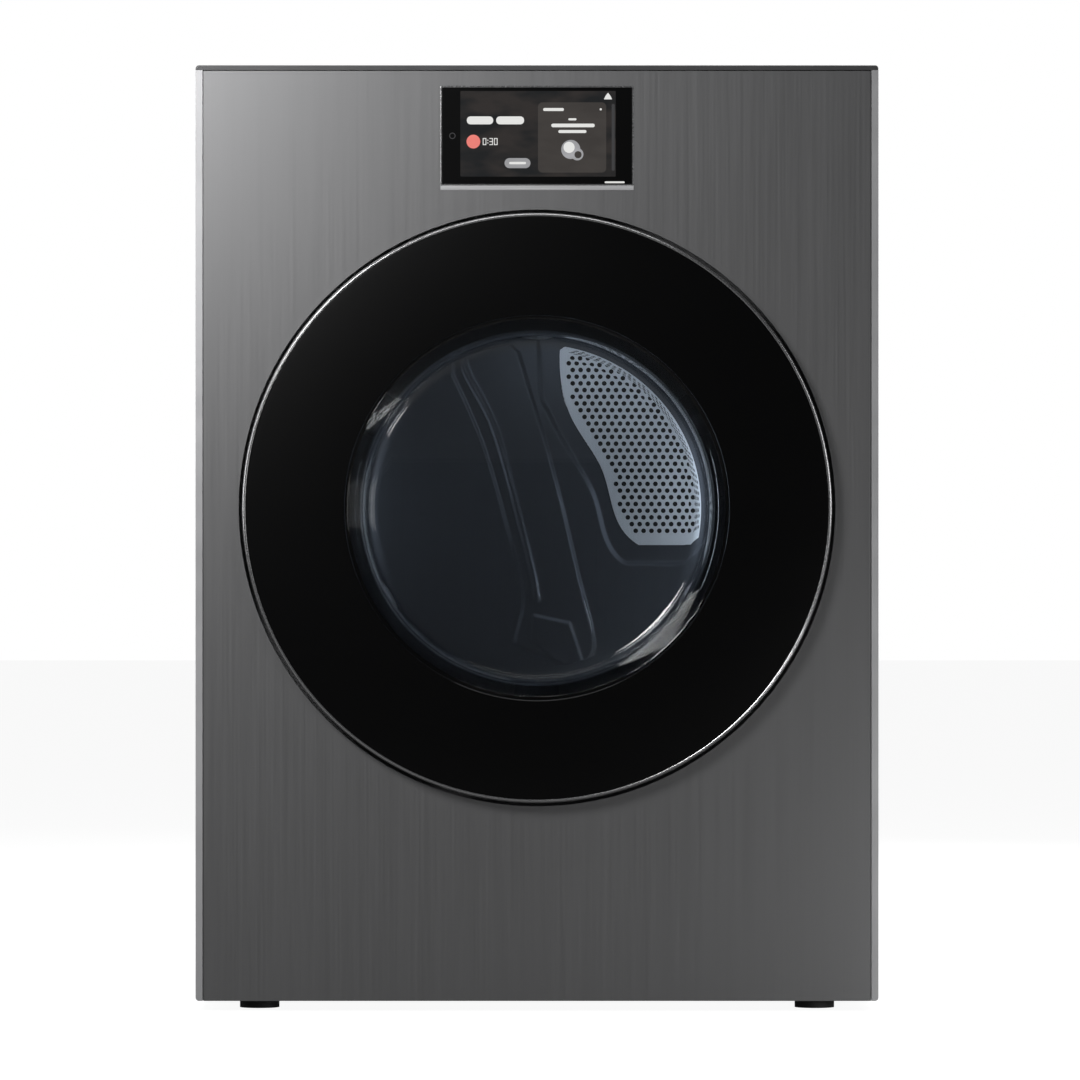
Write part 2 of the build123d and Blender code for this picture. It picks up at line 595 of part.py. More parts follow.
def display_part(margin, y, depth):
    """Flat piece that fits inside the bezel with a margin."""
    width, height = DISPLAY_WIDTH / 2 - BEZEL_EDGE - margin, DISPLAY_HEIGHT / 2 - BEZEL_EDGE - margin
    return block((-width, width), (y, y + depth), (DISPLAY_Z - height, DISPLAY_Z + height))


def control_board():
    """Board behind the display on four stand-offs, with its larger components."""
    face = FRONT_Y + SCREEN_GLASS + DISPLAY_MODULE_DEPTH
    board = display_part(4, face + BOARD_STANDOFF, BOARD_THICK)
    back = face + BOARD_STANDOFF + BOARD_THICK
    for x in (-70, 70):
        for z in (-30, 30):
            board += rod(3, x, DISPLAY_Z + z, (face, back))
    for x, z, wide, tall, deep in BOARD_PARTS:
        board += block((x - wide / 2, x + wide / 2), (back, back + deep),
                       (DISPLAY_Z + z - tall / 2, DISPLAY_Z + z + tall / 2))
    return board


# ---------------------------------------------------------------- door
def ring_arc(y, inner, outer):
    """Domed line of the ring glass from its outer edge to the window."""
    middle = (inner + outer) / 2
    return ThreePointArc((outer, y), (middle, y - 0.78 * DOOR_DOME), (inner, y - DOOR_DOME))


def door_ring_glass():
    inner, outer = WINDOW, TRIM_INNER - SEAT
    front, back = FRONT_Y + EDGE_FRONT, FRONT_Y + EDGE_FRONT + GLASS
    profile = make_face([ring_arc(front, inner, outer), ring_arc(back, inner, outer),
                         Line((outer, front), (outer, back)),
                         Line((inner, front - DOOR_DOME), (inner, back - DOOR_DOME))])
    return turned(profile)


def door_trim_ring():
    front, back = FRONT_Y + EDGE_FRONT, behind(TRIM_BACK)
    profile = outline((TRIM_INNER, front), (DOOR_RADIUS, front), (DOOR_RADIUS, back), (TRIM_INNER, back))
    corner = profile.vertices().sort_by_distance((DOOR_RADIUS, front, 0))[0]
    return turned(fillet(corner, TRIM_ROUND))


def dome_arc(radius, rise, apex, inward):
    """Arc between (radius, apex - rise) and the axis at apex, part of a sphere on the axis."""
    sphere = (radius ** 2 + rise ** 2) / (2 * rise)
    middle = (radius / 2, apex - sphere + math.sqrt(sphere ** 2 - radius ** 2 / 4))
    ends = [(radius, apex - rise), (0, apex)]
    if not inward:
        ends.reverse()
    return ThreePointArc(ends[0], middle, ends[1])


def door_bowl():
    """Clear bowl: a flange behind the ring glass, a tapering wall and a domed bottom."""
    seat = BOWL_SEAT
    flange = FRAME_INNER + BOWL_LAP
    lip = WINDOW - BOWL_GLASS
    foot = lip - BOWL_TAPER
    deep = behind(BOWL_DEPTH)
    inside = deep - BOWL_GLASS
    shape = [
        Polyline((lip, seat), (flange, seat), (flange, seat + GLASS), (WINDOW, seat + GLASS),
                 (foot + BOWL_GLASS, deep - BOWL_CROWN)),
        dome_arc(foot + BOWL_GLASS, BOWL_CROWN, deep, inward=True),
        Line((0, deep), (0, inside)),
        dome_arc(foot, BOWL_CROWN, inside, inward=False),
        Line((foot, inside - BOWL_CROWN), (lip, seat)),
    ]
    return turned(make_face([edge for line in shape for edge in line.edges()]))


def door_frame():
    """Moulded ring that carries the glass, with a pocket for the hinge."""
    front_out = FRONT_Y + EDGE_FRONT + GLASS + SEAT
    front_in = BOWL_SEAT + GLASS
    back = behind(DOOR_BACK)
    step = behind(TRIM_BACK)
    lip = DOOR_RADIUS - 1.0
    frame = turned(outline(
        (FRAME_INNER, front_in), (FRAME_INNER + PLASTIC, front_in),
        (FRAME_INNER + PLASTIC, back - PLASTIC), (FRAME_OUTER - PLASTIC, back - PLASTIC),
        (FRAME_OUTER - PLASTIC, front_out), (FRAME_OUTER, front_out), (FRAME_OUTER, step),
        (lip, step), (lip, step + PLASTIC), (FRAME_OUTER, step + PLASTIC), (FRAME_OUTER, back),
        (FRAME_INNER, back)))
    pocket = block((HINGE_X - ARM_REACH - LEAF, DOOR_RADIUS + 1),
                   (front_in, back + 1), (AXIS_Z - POCKET_HALF, AXIS_Z + POCKET_HALF))
    return frame - pocket


def hinge_plate():
    """U-shaped leaf inside the door that holds the pin's two ends."""
    web = HINGE_X - ARM_REACH - LEAF
    pin_y = behind(HINGE_DEPTH)
    inside = behind(DOOR_BACK) - PLASTIC
    z = (AXIS_Z - EAR_HIGH, AXIS_Z + EAR_HIGH)
    front = pin_y - KNUCKLE_RADIUS
    leaf = block((web, web + PLASTIC), (front, inside), z)
    leaf += block((web - LEAF_WIDTH, web + PLASTIC), (inside - PLASTIC, inside), z)
    for side in (-1, 1):
        ear = sorted((AXIS_Z + side * EAR_LOW, AXIS_Z + side * EAR_HIGH))
        leaf += block((web, HINGE_X), (front, pin_y + KNUCKLE_RADIUS), ear)
        leaf += pillar(KNUCKLE_RADIUS, HINGE_X, pin_y, ear)
    return leaf - pillar(PIN_RADIUS + SEAT / 5, HINGE_X, pin_y, (z[0] - 1, z[1] + 1))


def hinge_pin():
    pin_y = behind(HINGE_DEPTH)
    pin = pillar(PIN_RADIUS, HINGE_X, pin_y, (AXIS_Z - EAR_HIGH, AXIS_Z + EAR_HIGH))
    return pin + pillar(KNUCKLE_RADIUS, HINGE_X, pin_y, (AXIS_Z + EAR_HIGH, AXIS_Z + EAR_HIGH + 1.5))


def hinge_screw_places():
    """(x, z) of the two screws through the bracket's foot."""
    return [(HINGE_X + HINGE_SCREW_OUT, AXIS_Z + side * 0.6 * HINGE_HALF) for side in (-1, 1)]


def hinge_bracket():
    """Swan-neck bracket: knuckle, arm under the glass, leg and foot on the recess floor."""
    x, y = HINGE_X, behind(HINGE_DEPTH)
    floor = behind(RECESS_DEPTH)
    z = (AXIS_Z - HINGE_HALF, AXIS_Z + HINGE_HALF)
    bracket = pillar(KNUCKLE_RADIUS, x, y, (AXIS_Z - KNUCKLE_HALF, AXIS_Z + KNUCKLE_HALF))
    bracket += block((x - ARM_REACH, x), (y - LEAF, y), z)
    bracket += block((x - ARM_REACH, x - ARM_REACH + LEAF), (y - LEAF, floor), z)
    bracket += block((x - ARM_REACH, x + BRACKET_FOOT), (floor - LEAF, floor), z)
    bracket -= pillar(PIN_RADIUS + RUNNING, x, y, (z[0] - 10, z[1] + 10))
    for screw_x, screw_z in hinge_screw_places():
        bracket -= rod(SCREW_RADIUS + SEAT, screw_x, screw_z, (floor - LEAF - 1, floor + 1))
    return bracket


def door_gasket():
    """Soft bulb ring on the door's back that meets the recess floor."""
    inner = THROAT + 5
    back = behind(DOOR_BACK)
    gap = behind(RECESS_DEPTH) - MOVING
    profile = outline((inner, back), (inner + 12, back), (inner + 9, gap), (inner + 3, gap))
    return turned(profile)


def door_strike():
    back = behind(DOOR_BACK)
    reach = back + STRIKE_HOOK
    half = STRIKE_HOOK / 2
    strike = block((LATCH_X - 9, LATCH_X + 9), (back, back + PLASTIC), (AXIS_Z - half, AXIS_Z + half))
    strike += block((LATCH_X - 3, LATCH_X + 3), (back, reach), (AXIS_Z - half, AXIS_Z + half))
    return strike - block((LATCH_X - 4, LATCH_X + 4), (reach - 8, reach - 3),
                          (AXIS_Z - half / 2, AXIS_Z + half / 2))


def latch_housing():
    """Closed box behind the recess floor with a bay for the strike and one for the plunger."""
    y = (behind(RECESS_DEPTH) + SHEET, BULKHEAD_Y - SEAT)
    housing = block((LATCH_X - 15, LATCH_X + 15), y, (AXIS_Z - 18, AXIS_Z + PLUNGER_RISE + 14))
    housing -= block((LATCH_X - 7, LATCH_X + 7), (y[0] - 1, y[1] - 2), (AXIS_Z - 13, AXIS_Z + 13))
    return housing - rod(PLUNGER_RADIUS + MOVING, LATCH_X, AXIS_Z + PLUNGER_RISE, (y[0] - 1, y[1] - 2))


def latch_plunger():
    tip = behind(DOOR_BACK) + MOVING
    end = BULKHEAD_Y - SEAT - 2 - PLUNGER_TRAVEL - MOVING
    return rod(PLUNGER_RADIUS, LATCH_X, AXIS_Z + PLUNGER_RISE, (tip, end))


# ---------------------------------------------------------------- drum and its supports
def drum_shell():
    neck = DRUM_NECK_INNER
    wall = DRUM_FRONT + DRUM_SHEET
    mouth = DRUM_FRONT - DRUM_NECK
    return turned(outline(
        (DRUM_RADIUS, DRUM_REAR), (DRUM_RADIUS, DRUM_FRONT), (neck + DRUM_SHEET, DRUM_FRONT),
        (neck + DRUM_SHEET, mouth), (neck, mouth), (neck, wall), (DRUM_INNER, wall),
        (DRUM_INNER, DRUM_REAR)))


def lifter_ridge(inset):
    """Cross-section of a lifter at the top of the drum, in (x, z) from the drum axis."""
    tip = DRUM_INNER - LIFTER_HEIGHT + inset
    half = LIFTER_HALF - inset
    nose = LIFTER_NOSE - inset / 2
    foot = DRUM_INNER - LIFTER_FOOT
    return outline((-half, DRUM_RADIUS), (-half, foot), (-nose, tip + nose / 2), (0, tip),
                   (nose, tip + nose / 2), (half, foot), (half, DRUM_RADIUS))


def drum_lifter(angle):
    """Hollow ridge along the drum's wall, open towards the wall."""
    y = (DRUM_FRONT + LIFTER_MARGIN, PLATEAU_Y - LIFTER_MARGIN)
    lifter = plate(lifter_ridge(0), y) & rod(DRUM_INNER - SEAT / 2, 0, 0, y)
    lifter -= plate(lifter_ridge(PLASTIC), (y[0] + PLASTIC, y[1] - PLASTIC))
    return Pos(0, 0, AXIS_Z) * Rot(0, angle, 0) * lifter


def roller(x, y):
    """Drum roller: hub, web and tread, with a bore that runs on its axle."""
    middle = y + ROLLER_WIDTH / 2
    rim = ROLLER_RADIUS - ROLLER_RIM
    hub = 2 * AXLE_RADIUS
    web = ROLLER_WEB
    bore = AXLE_RADIUS + RUNNING
    return turned(outline(
        (bore, y), (hub, y), (hub, middle - web), (rim, middle - web), (rim, y), (ROLLER_RADIUS, y),
        (ROLLER_RADIUS, y + ROLLER_WIDTH), (rim, y + ROLLER_WIDTH), (rim, middle + web),
        (hub, middle + web), (hub, y + ROLLER_WIDTH), (bore, y + ROLLER_WIDTH)), x, ROLLER_Z)


def roller_axle(x, plate_y, y):
    """Stepped axle from its bulkhead through the roller, with a spigot and an end collar."""
    side = 1 if y > plate_y else -1
    near = y if side > 0 else y + ROLLER_WIDTH
    far = near + side * ROLLER_WIDTH

    def span(start, end):
        return tuple(sorted((start, end)))

    axle = rod(1.5 * AXLE_RADIUS, x, ROLLER_Z, span(plate_y, near - side * MOVING))
    axle += rod(AXLE_RADIUS, x, ROLLER_Z, span(plate_y, far + side * AXLE_COLLAR))
    axle += rod(1.5 * AXLE_RADIUS, x, ROLLER_Z, span(far + side * MOVING, far + side * AXLE_COLLAR))
    return axle + rod(AXLE_RADIUS / 2, x, ROLLER_Z, span(plate_y - side * 2 * SHEET, plate_y))


def roller_axles():
    front = [roller_axle(x, BULKHEAD_Y + SHEET, FRONT_ROLLER_Y) for x in (-ROLLER_X, ROLLER_X)]
    rear = [roller_axle(x, REAR_PLATE_Y, REAR_ROLLER_Y) for x in (-ROLLER_X, ROLLER_X)]
    return Compound(children=front + rear)


def drive_belt():
    """Loop round the drum, the motor pulley and the idler, a small gap off each."""
    wheels = ((DRUM_RADIUS, 0, AXIS_Z), (PULLEY_RADIUS, MOTOR_X, MOTOR_Z), (IDLER_RADIUS, IDLER_X, IDLER_Z))
    inner = loop(*[(r + MOVING, x, z) for r, x, z in wheels])
    outer = loop(*[(r + MOVING + BELT_THICK, x, z) for r, x, z in wheels])
    return plate(outer - inner, (BELT_MID - BELT_WIDTH / 2, BELT_MID + BELT_WIDTH / 2))


# ---------------------------------------------------------------- motor, blower and idler
def motor_housing():
    body = rod(MOTOR_RADIUS, MOTOR_X, MOTOR_Z, (MOTOR_Y, MOTOR_BACK))
    body = fillet(body.edges().filter_by(GeomType.CIRCLE), MOTOR_ROUND)
    inside = MOTOR_RADIUS - MOTOR_WALL
    body -= rod(inside, MOTOR_X, MOTOR_Z, (MOTOR_Y + 2 * MOTOR_WALL, MOTOR_BACK - 2 * MOTOR_WALL))
    return body - rod(SHAFT_RADIUS + RUNNING, MOTOR_X, MOTOR_Z, (MOTOR_Y - 1, MOTOR_BACK + 1))


def motor_bracket():
    """Base plate, two cradles under the motor and the idler arm's post."""
    wide = (IDLER_PIVOT_X - 2 * ARM_HALF, MOTOR_X + MOTOR_RADIUS)
    bracket = block(wide, (MOTOR_Y, BELT_MID), (BASE_TOP, BASE_TOP + ARM_THICK))
    for y in (MOTOR_Y + CRADLE_INSET, MOTOR_BACK - CRADLE_INSET - LEAF):
        cradle = block((MOTOR_X - CRADLE_HALF, MOTOR_X + CRADLE_HALF), (y, y + LEAF),
                       (BASE_TOP, MOTOR_Z - CRADLE_DROP))
        bracket += cradle - rod(MOTOR_RADIUS + SEAT, MOTOR_X, MOTOR_Z, (y - 1, y + LEAF + 1))
    post = idler_arm_y()[0] - MOVING
    x, z = IDLER_PIVOT_X, IDLER_PIVOT_Z
    bracket += block((x - ARM_HALF, x + ARM_HALF), (post - LEAF, post), (BASE_TOP, z))
    bracket += rod(ARM_HALF, x, z, (post - LEAF, post))
    return bracket + rod(STUD_RADIUS, x, z, (post - LEAF, post + MOVING + ARM_THICK + 2))


def idler_arm_y():
    """The arm lies just in front of the belt's pulleys."""
    back = BELT_MID - BELT_WIDTH / 2 - PULLEY_SIDE - MOVING
    return back - ARM_THICK, back


def idler_arm():
    """Bell-crank arm: pivot, idler axle and a lug for the spring."""
    y = idler_arm_y()
    arm = plate(loop((ARM_HALF, IDLER_PIVOT_X, IDLER_PIVOT_Z), (ARM_HALF, IDLER_X, IDLER_Z)), y)
    arm += plate(loop((ARM_HALF, IDLER_PIVOT_X, IDLER_PIVOT_Z),
                      (ARM_HALF / 2, IDLER_PIVOT_X - SPRING_REACH, IDLER_PIVOT_Z)), y)
    arm += rod(STUD_RADIUS, IDLER_X, IDLER_Z, (y[0], BELT_MID + BELT_WIDTH / 2 + SHAFT_END))
    return arm - rod(STUD_RADIUS + RUNNING, IDLER_PIVOT_X, IDLER_PIVOT_Z, (y[0] - 1, y[1] + 1))


def grooved_wheel(radius, bore, x, z):
    """Flat pulley with low side flanges, in the belt's plane."""
    half = BELT_WIDTH / 2
    rim = radius + PULLEY_LIP
    front, back = BELT_MID - half - PULLEY_SIDE, BELT_MID + half + PULLEY_SIDE
    tread = (BELT_MID - half - BELT_ROOM, BELT_MID + half + BELT_ROOM)
    return turned(outline(
        (bore, front), (rim, front), (rim, tread[0]), (radius, tread[0]), (radius, tread[1]),
        (rim, tread[1]), (rim, back), (bore, back)), x, z)


def idler_spring():
    """Pull spring between the arm's lug and the base."""
    height = IDLER_PIVOT_Z - 2 * SPRING_SEAT - ARM_HALF / 2 - BASE_TOP
    x = IDLER_PIVOT_X - SPRING_REACH
    y = sum(idler_arm_y()) / 2
    line = Helix(pitch=height / SPRING_TURNS, height=height, radius=SPRING_RADIUS)
    coil = sweep(Plane(line @ 0, z_dir=line % 0) * Circle(SPRING_WIRE), path=line)
    return Pos(x, y, BASE_TOP + SPRING_SEAT) * coil


def blower_housing():
    """Volute with an inlet in its front wall and the exhaust spigot hole in its back wall."""
    def hollow(inset):
        return loop((BLOWER_RADIUS - inset, MOTOR_X, MOTOR_Z),
                    (EXHAUST_RADIUS + SPIGOT_MARGIN - inset, EXHAUST_X, EXHAUST_Z))

    housing = plate(hollow(0), (BLOWER_Y, BLOWER_BACK))
    housing -= plate(hollow(BLOWER_WALL), (BLOWER_Y + BLOWER_WALL, BLOWER_BACK - BLOWER_WALL))
    housing -= rod(INLET_RADIUS, MOTOR_X, MOTOR_Z, (BLOWER_Y - 1, BLOWER_Y + 2 * BLOWER_WALL))
    housing -= rod(SHAFT_RADIUS + 2, MOTOR_X, MOTOR_Z, (BLOWER_BACK - 2 * BLOWER_WALL, BLOWER_BACK + 1))
    return housing - rod(EXHAUST_RADIUS - EXHAUST_WALL, EXHAUST_X, EXHAUST_Z,
                         (BLOWER_BACK - 2 * BLOWER_WALL, BLOWER_BACK + 1))


def blower_wheel():
    """Back plate, hub, front ring and straight blades."""
    y = (BLOWER_Y + WHEEL_FRONT_GAP, BLOWER_BACK - WHEEL_BACK_GAP)
    wheel = rod(WHEEL_RADIUS, MOTOR_X, MOTOR_Z, (y[1] - WHEEL_SHEET, y[1]))
    wheel += rod(2 * SHAFT_RADIUS, MOTOR_X, MOTOR_Z, (y[1] - HUB_LENGTH, y[1]))
    wheel += tube(WHEEL_RADIUS, INLET_RADIUS, MOTOR_X, MOTOR_Z, (y[0], y[0] + WHEEL_SHEET))
    blade = block((INLET_RADIUS + WHEEL_SHEET, WHEEL_RADIUS - BLADE_HALF), y,
                  (-BLADE_HALF, BLADE_HALF))
    for index in range(WHEEL_BLADES):
        wheel += Pos(MOTOR_X, 0, MOTOR_Z) * Rot(0, index * 360 / WHEEL_BLADES, 0) * blade
    return wheel - rod(SHAFT_RADIUS + SEAT / 5, MOTOR_X, MOTOR_Z, (y[0] - 1, y[1] + 1))


def motor_shaft():
    front = BLOWER_BACK - WHEEL_BACK_GAP - HUB_LENGTH
    return rod(SHAFT_RADIUS, MOTOR_X, MOTOR_Z, (front, BELT_MID + BELT_WIDTH / 2 + SHAFT_END))


def exhaust_duct():
    """Pipe along the base, a little thicker where it leaves the back as the collar."""
    end = REAR_Y + COLLAR_LENGTH
    duct = rod(EXHAUST_RADIUS - EXHAUST_WALL / 2, EXHAUST_X, EXHAUST_Z, (BLOWER_BACK, end))
    duct += rod(EXHAUST_RADIUS, EXHAUST_X, EXHAUST_Z, (REAR_Y, end))
    return duct - rod(EXHAUST_RADIUS - EXHAUST_WALL, EXHAUST_X, EXHAUST_Z, (BLOWER_BACK - 1, end + 1))


# ---------------------------------------------------------------- lint filter
def funnel_face(inset):
    """Duct outline from the throat down to the blower inlet, in (x, z)."""
    wide = FILTER_HALF + FUNNEL_WALL + 2 - inset
    mouth = AXIS_Z - math.sqrt(NECK_RING ** 2 - FILTER_HALF ** 2) - SHEET - 3
    shoulder = mouth - FILTER_HEIGHT
    reach = INLET_RADIUS + FUNNEL_MARGIN - inset
    low = MOTOR_Z - reach
    left, right = MOTOR_X - reach, MOTOR_X + reach
    return outline((-wide, mouth + 2 * inset), (wide, mouth + 2 * inset), (wide, shoulder),
                   (right, low + 2 * INLET_RADIUS), (right, low), (left, low),
                   (left, low + 2 * INLET_RADIUS), (-wide, shoulder))


def filter_housing():
    """Flat funnel below the throat, open at the top, with the blower inlet in its back."""
    housing = plate(funnel_face(0), (FUNNEL_Y, FUNNEL_BACK))
    housing -= plate(funnel_face(FUNNEL_WALL), (FUNNEL_Y + FUNNEL_WALL, FUNNEL_BACK - FUNNEL_WALL))
    housing -= rod(NECK_RING + SHEET + SEAT, 0, AXIS_Z, (FUNNEL_Y - 1, FUNNEL_BACK + 1))
    housing += tube(INLET_RADIUS, INLET_RADIUS - FUNNEL_WALL, MOTOR_X, MOTOR_Z,
                    (FUNNEL_BACK - FUNNEL_WALL, BLOWER_Y))
    return housing - rod(INLET_RADIUS - FUNNEL_WALL, MOTOR_X, MOTOR_Z, (FUNNEL_BACK - 2, BLOWER_Y + 1))


def lint_filter():
    """Filter frame with cross ribs and a grip along its curved top."""
    top = AXIS_Z - math.sqrt(NECK_RING ** 2 - FILTER_HALF ** 2) - FILTER_DROP
    bottom = top - FILTER_HEIGHT + 2 * FILTER_DROP
    y = (FILTER_Y, FILTER_Y + FILTER_THICK)
    half = FILTER_HALF - 1
    frame = block((-half, half), y, (bottom, top))
    pitch = (2 * half - FILTER_RIB) / FILTER_CELLS
    for index in range(FILTER_CELLS):
        left = -half + FILTER_RIB + index * pitch
        frame -= block((left, left + pitch - FILTER_RIB), (y[0] - 1, y[1] + 1),
                       (bottom + FILTER_RIB, top - FILTER_GRIP))
    frame -= rod(THROAT + 2, 0, AXIS_Z, (y[0] - 1, y[1] + 1))
    return frame


# ---------------------------------------------------------------- heater
def heater_places():
    """X range, the lower part's z range and the upper part's z range."""
    x = (EXHAUST_RADIUS + HEATER_SIDE, GRILLE_RADIUS + HEATER_LAP)
    shoulder = AXIS_Z - HEATER_SHOULDER
    return x, (BASE_TOP + BASE_FLANGE + HEATER_LIFT, shoulder), (shoulder, AXIS_Z + HEATER_TOP)


def heater_box():
    """Flat sheet duct on the rear bulkhead's back, open below and towards the grille."""
    x, lower, upper = heater_places()
    y = (REAR_PLATE_Y + SHEET, REAR_Y - HEATER_BACK)
    wide = (HEATER_LEFT, x[1])
    box = block(x, y, lower) + block(wide, y, upper)
    box -= block((x[0] + SHEET, x[1] - SHEET), (y[0] + SHEET, y[1] - SHEET), (lower[0] - 1, upper[0] + 1))
    box -= block((wide[0] + SHEET, wide[1] - SHEET), (y[0] + SHEET, y[1] - SHEET),
                 (upper[0] + SHEET, upper[1] - SHEET))
    opening = block((wide[0] + SHEET, wide[1] - SHEET), (y[0] - 1, y[0] + 2 * SHEET),
                    (upper[0] + SHEET, upper[1] - SHEET))
    return box - opening


def heater_coil():
    """Serpentine heating rod between two insulator strips."""
    x, lower, _ = heater_places()
    y = (REAR_PLATE_Y + SHEET + REAR_Y - HEATER_BACK) / 2
    left, right = x[0] + COIL_INSET, x[1] - COIL_INSET
    start = lower[0] + COIL_START
    points = []
    for index in range(COIL_RUNS):
        ends = (left, right) if index % 2 == 0 else (right, left)
        points += [(ends[0], start + index * COIL_PITCH), (ends[1], start + index * COIL_PITCH)]
    path = Pos(0, y, 0) * Rot(90, 0, 0) * FilletPolyline(*points, radius=0.45 * COIL_PITCH)
    rods = sweep(Plane(path @ 0, z_dir=path % 0) * Circle(COIL_ROD), path=path)
    margin = 2 * INSULATOR
    for side in (left - INSULATOR, right):
        top = start + (COIL_RUNS - 1) * COIL_PITCH
        rods += block((side, side + INSULATOR), (y - margin / 1.5, y + margin / 1.5),
                      (start - margin, top + margin))
    return rods


# ---------------------------------------------------------------- feet
def foot_places():
    return [(x, y) for y in (FOOT_FRONT, FOOT_REAR) for x in (-FOOT_X, FOOT_X)]


def levelling_foot(x, y):
    """Pad and threaded stud; the stud runs in the base pan's boss."""
    pad = pillar(FOOT_RADIUS, x, y, (0, FOOT_PAD))
    pad = fillet(pad.edges().group_by(Axis.Z)[-1], 2)
    nut = Pos(x, y, FOOT_PAD - 0.5) * extrude(RegularPolygon(1.8 * STUD_RADIUS, 6), BASE_LIFT - FOOT_PAD)
    return pad + nut + pillar(STUD_RADIUS, x, y, (FOOT_PAD - 1, BOSS_TOP + FOOT_TRAVEL))


# ---------------------------------------------------------------- assembly
NODES["base_pan"] = base_pan()
NODES["side_panel_left"] = side_panel(-1)
NODES["side_panel_right"] = side_panel(1)
NODES["top_panel"] = top_panel()
NODES["front_panel"] = front_panel()
NODES["rear_panel"] = rear_panel()
NODES["terminal_cover"] = terminal_cover()
NODES["terminal_block"] = terminal_block()
NODES["cabinet_screws"] = cabinet_screws()
NODES["door_recess"] = door_recess()
NODES["front_bulkhead"] = front_bulkhead()
NODES["rear_bulkhead"] = rear_bulkhead()
NODES["inlet_grille"] = inlet_grille()
NODES["drum_lamp_lens"] = drum_lamp_lens()
NODES["sensor_bars"] = sensor_bars()
NODES["front_felt"] = felt(FELT_INNER + SEAT / 2, FELT_OUTER, (DRUM_FRONT - DRUM_NECK + 1, DRUM_FRONT - 2))
NODES["rear_felt"] = felt(PLATEAU_RADIUS + SEAT / 2, PLATEAU_RADIUS + REAR_FELT,
                          (PLATEAU_Y + 2, PLATEAU_Y + 22))
NODES["display_bezel"] = display_bezel()
NODES["display_glass"] = display_part(SEAT, FRONT_Y, SCREEN_GLASS)
NODES["display_module"] = display_part(2, FRONT_Y + SCREEN_GLASS, DISPLAY_MODULE_DEPTH)
NODES["control_board"] = control_board()
NODES["door_ring_glass"] = door_ring_glass()
NODES["door_trim_ring"] = door_trim_ring()
NODES["door_bowl"] = door_bowl()
NODES["door_frame"] = door_frame()
NODES["door_gasket"] = door_gasket()
NODES["door_strike"] = door_strike()
NODES["hinge_plate"] = hinge_plate()
NODES["hinge_pin"] = hinge_pin()
NODES["hinge_bracket"] = hinge_bracket()
NODES["latch_housing"] = latch_housing()
NODES["latch_plunger"] = latch_plunger()
NODES["drum_shell"] = drum_shell()
for number, turn in enumerate((0, 120, 240), 1):
    NODES[f"drum_lifter_{number}"] = drum_lifter(turn)
NODES["roller_axles"] = roller_axles()
for name, roller_y in (("front", FRONT_ROLLER_Y), ("rear", REAR_ROLLER_Y)):
    NODES[f"roller_{name}_left"] = roller(-ROLLER_X, roller_y)
    NODES[f"roller_{name}_right"] = roller(ROLLER_X, roller_y)
NODES["drive_belt"] = drive_belt()
NODES["motor_housing"] = motor_housing()
NODES["motor_bracket"] = motor_bracket()
NODES["motor_shaft"] = motor_shaft()
NODES["motor_pulley"] = grooved_wheel(PULLEY_RADIUS, SHAFT_RADIUS + SEAT / 5, MOTOR_X, MOTOR_Z)
NODES["idler_arm"] = idler_arm()
NODES["idler_pulley"] = grooved_wheel(IDLER_RADIUS, STUD_RADIUS + RUNNING, IDLER_X, IDLER_Z)
NODES["idler_spring"] = idler_spring()
NODES["blower_housing"] = blower_housing()
NODES["blower_wheel"] = blower_wheel()
NODES["exhaust_duct"] = exhaust_duct()
NODES["filter_housing"] = filter_housing()
NODES["lint_filter"] = lint_filter()
NODES["heater_box"] = heater_box()
NODES["heater_coil"] = heater_coil()
for name, place in zip(("front_left", "front_right", "rear_left", "rear_right"), foot_places()):
    NODES[f"foot_{name}"] = levelling_foot(*place)

os.makedirs("parts", exist_ok=True)
for name, shape in NODES.items():
    export_step(shape, f"parts/{name}.step")
print(len(NODES), "nodes; drum axis z", round(AXIS_Z, 1), "front y", FRONT_Y, "rear y", REAR_Y)
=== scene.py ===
import json
import math

import bmesh
import bpy
import numpy as np
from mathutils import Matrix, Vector


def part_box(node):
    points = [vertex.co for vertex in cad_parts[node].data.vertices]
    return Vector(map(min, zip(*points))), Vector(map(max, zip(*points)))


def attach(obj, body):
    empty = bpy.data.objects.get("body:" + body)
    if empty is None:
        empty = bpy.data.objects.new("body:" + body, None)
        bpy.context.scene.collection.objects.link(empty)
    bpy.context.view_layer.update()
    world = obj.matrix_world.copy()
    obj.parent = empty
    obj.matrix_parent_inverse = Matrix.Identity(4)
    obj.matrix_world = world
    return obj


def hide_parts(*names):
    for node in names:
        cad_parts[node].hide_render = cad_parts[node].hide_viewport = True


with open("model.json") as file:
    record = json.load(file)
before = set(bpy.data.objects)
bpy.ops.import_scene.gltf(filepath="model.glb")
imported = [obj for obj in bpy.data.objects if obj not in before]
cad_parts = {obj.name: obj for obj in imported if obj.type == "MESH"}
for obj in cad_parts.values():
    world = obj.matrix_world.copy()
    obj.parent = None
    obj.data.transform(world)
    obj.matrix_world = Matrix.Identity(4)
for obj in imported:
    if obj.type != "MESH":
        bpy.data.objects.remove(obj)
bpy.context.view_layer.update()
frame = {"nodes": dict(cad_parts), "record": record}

# Looks for the clothes dryer, in metres. X is to the right, -Y to the front, +Z up.

MM = 0.001


# ---------------------------------------------------------------- places, from the frame
def centre(node):
    low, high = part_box(node)
    return (low + high) / 2


def half_width(node):
    low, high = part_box(node)
    return (high.x - low.x) / 2


BOWL_OVERLAP = 10 * MM       # the bowl's flange reaches this far behind the ring glass
AXIS_Z = centre("door_ring_glass").z
FRONT_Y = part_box("front_panel")[0].y
DOOR_RADIUS = half_width("door_trim_ring")
BOWL_FLANGE = half_width("door_bowl")
GLASS_OUTER = half_width("door_ring_glass")
WINDOW = BOWL_FLANGE - BOWL_OVERLAP


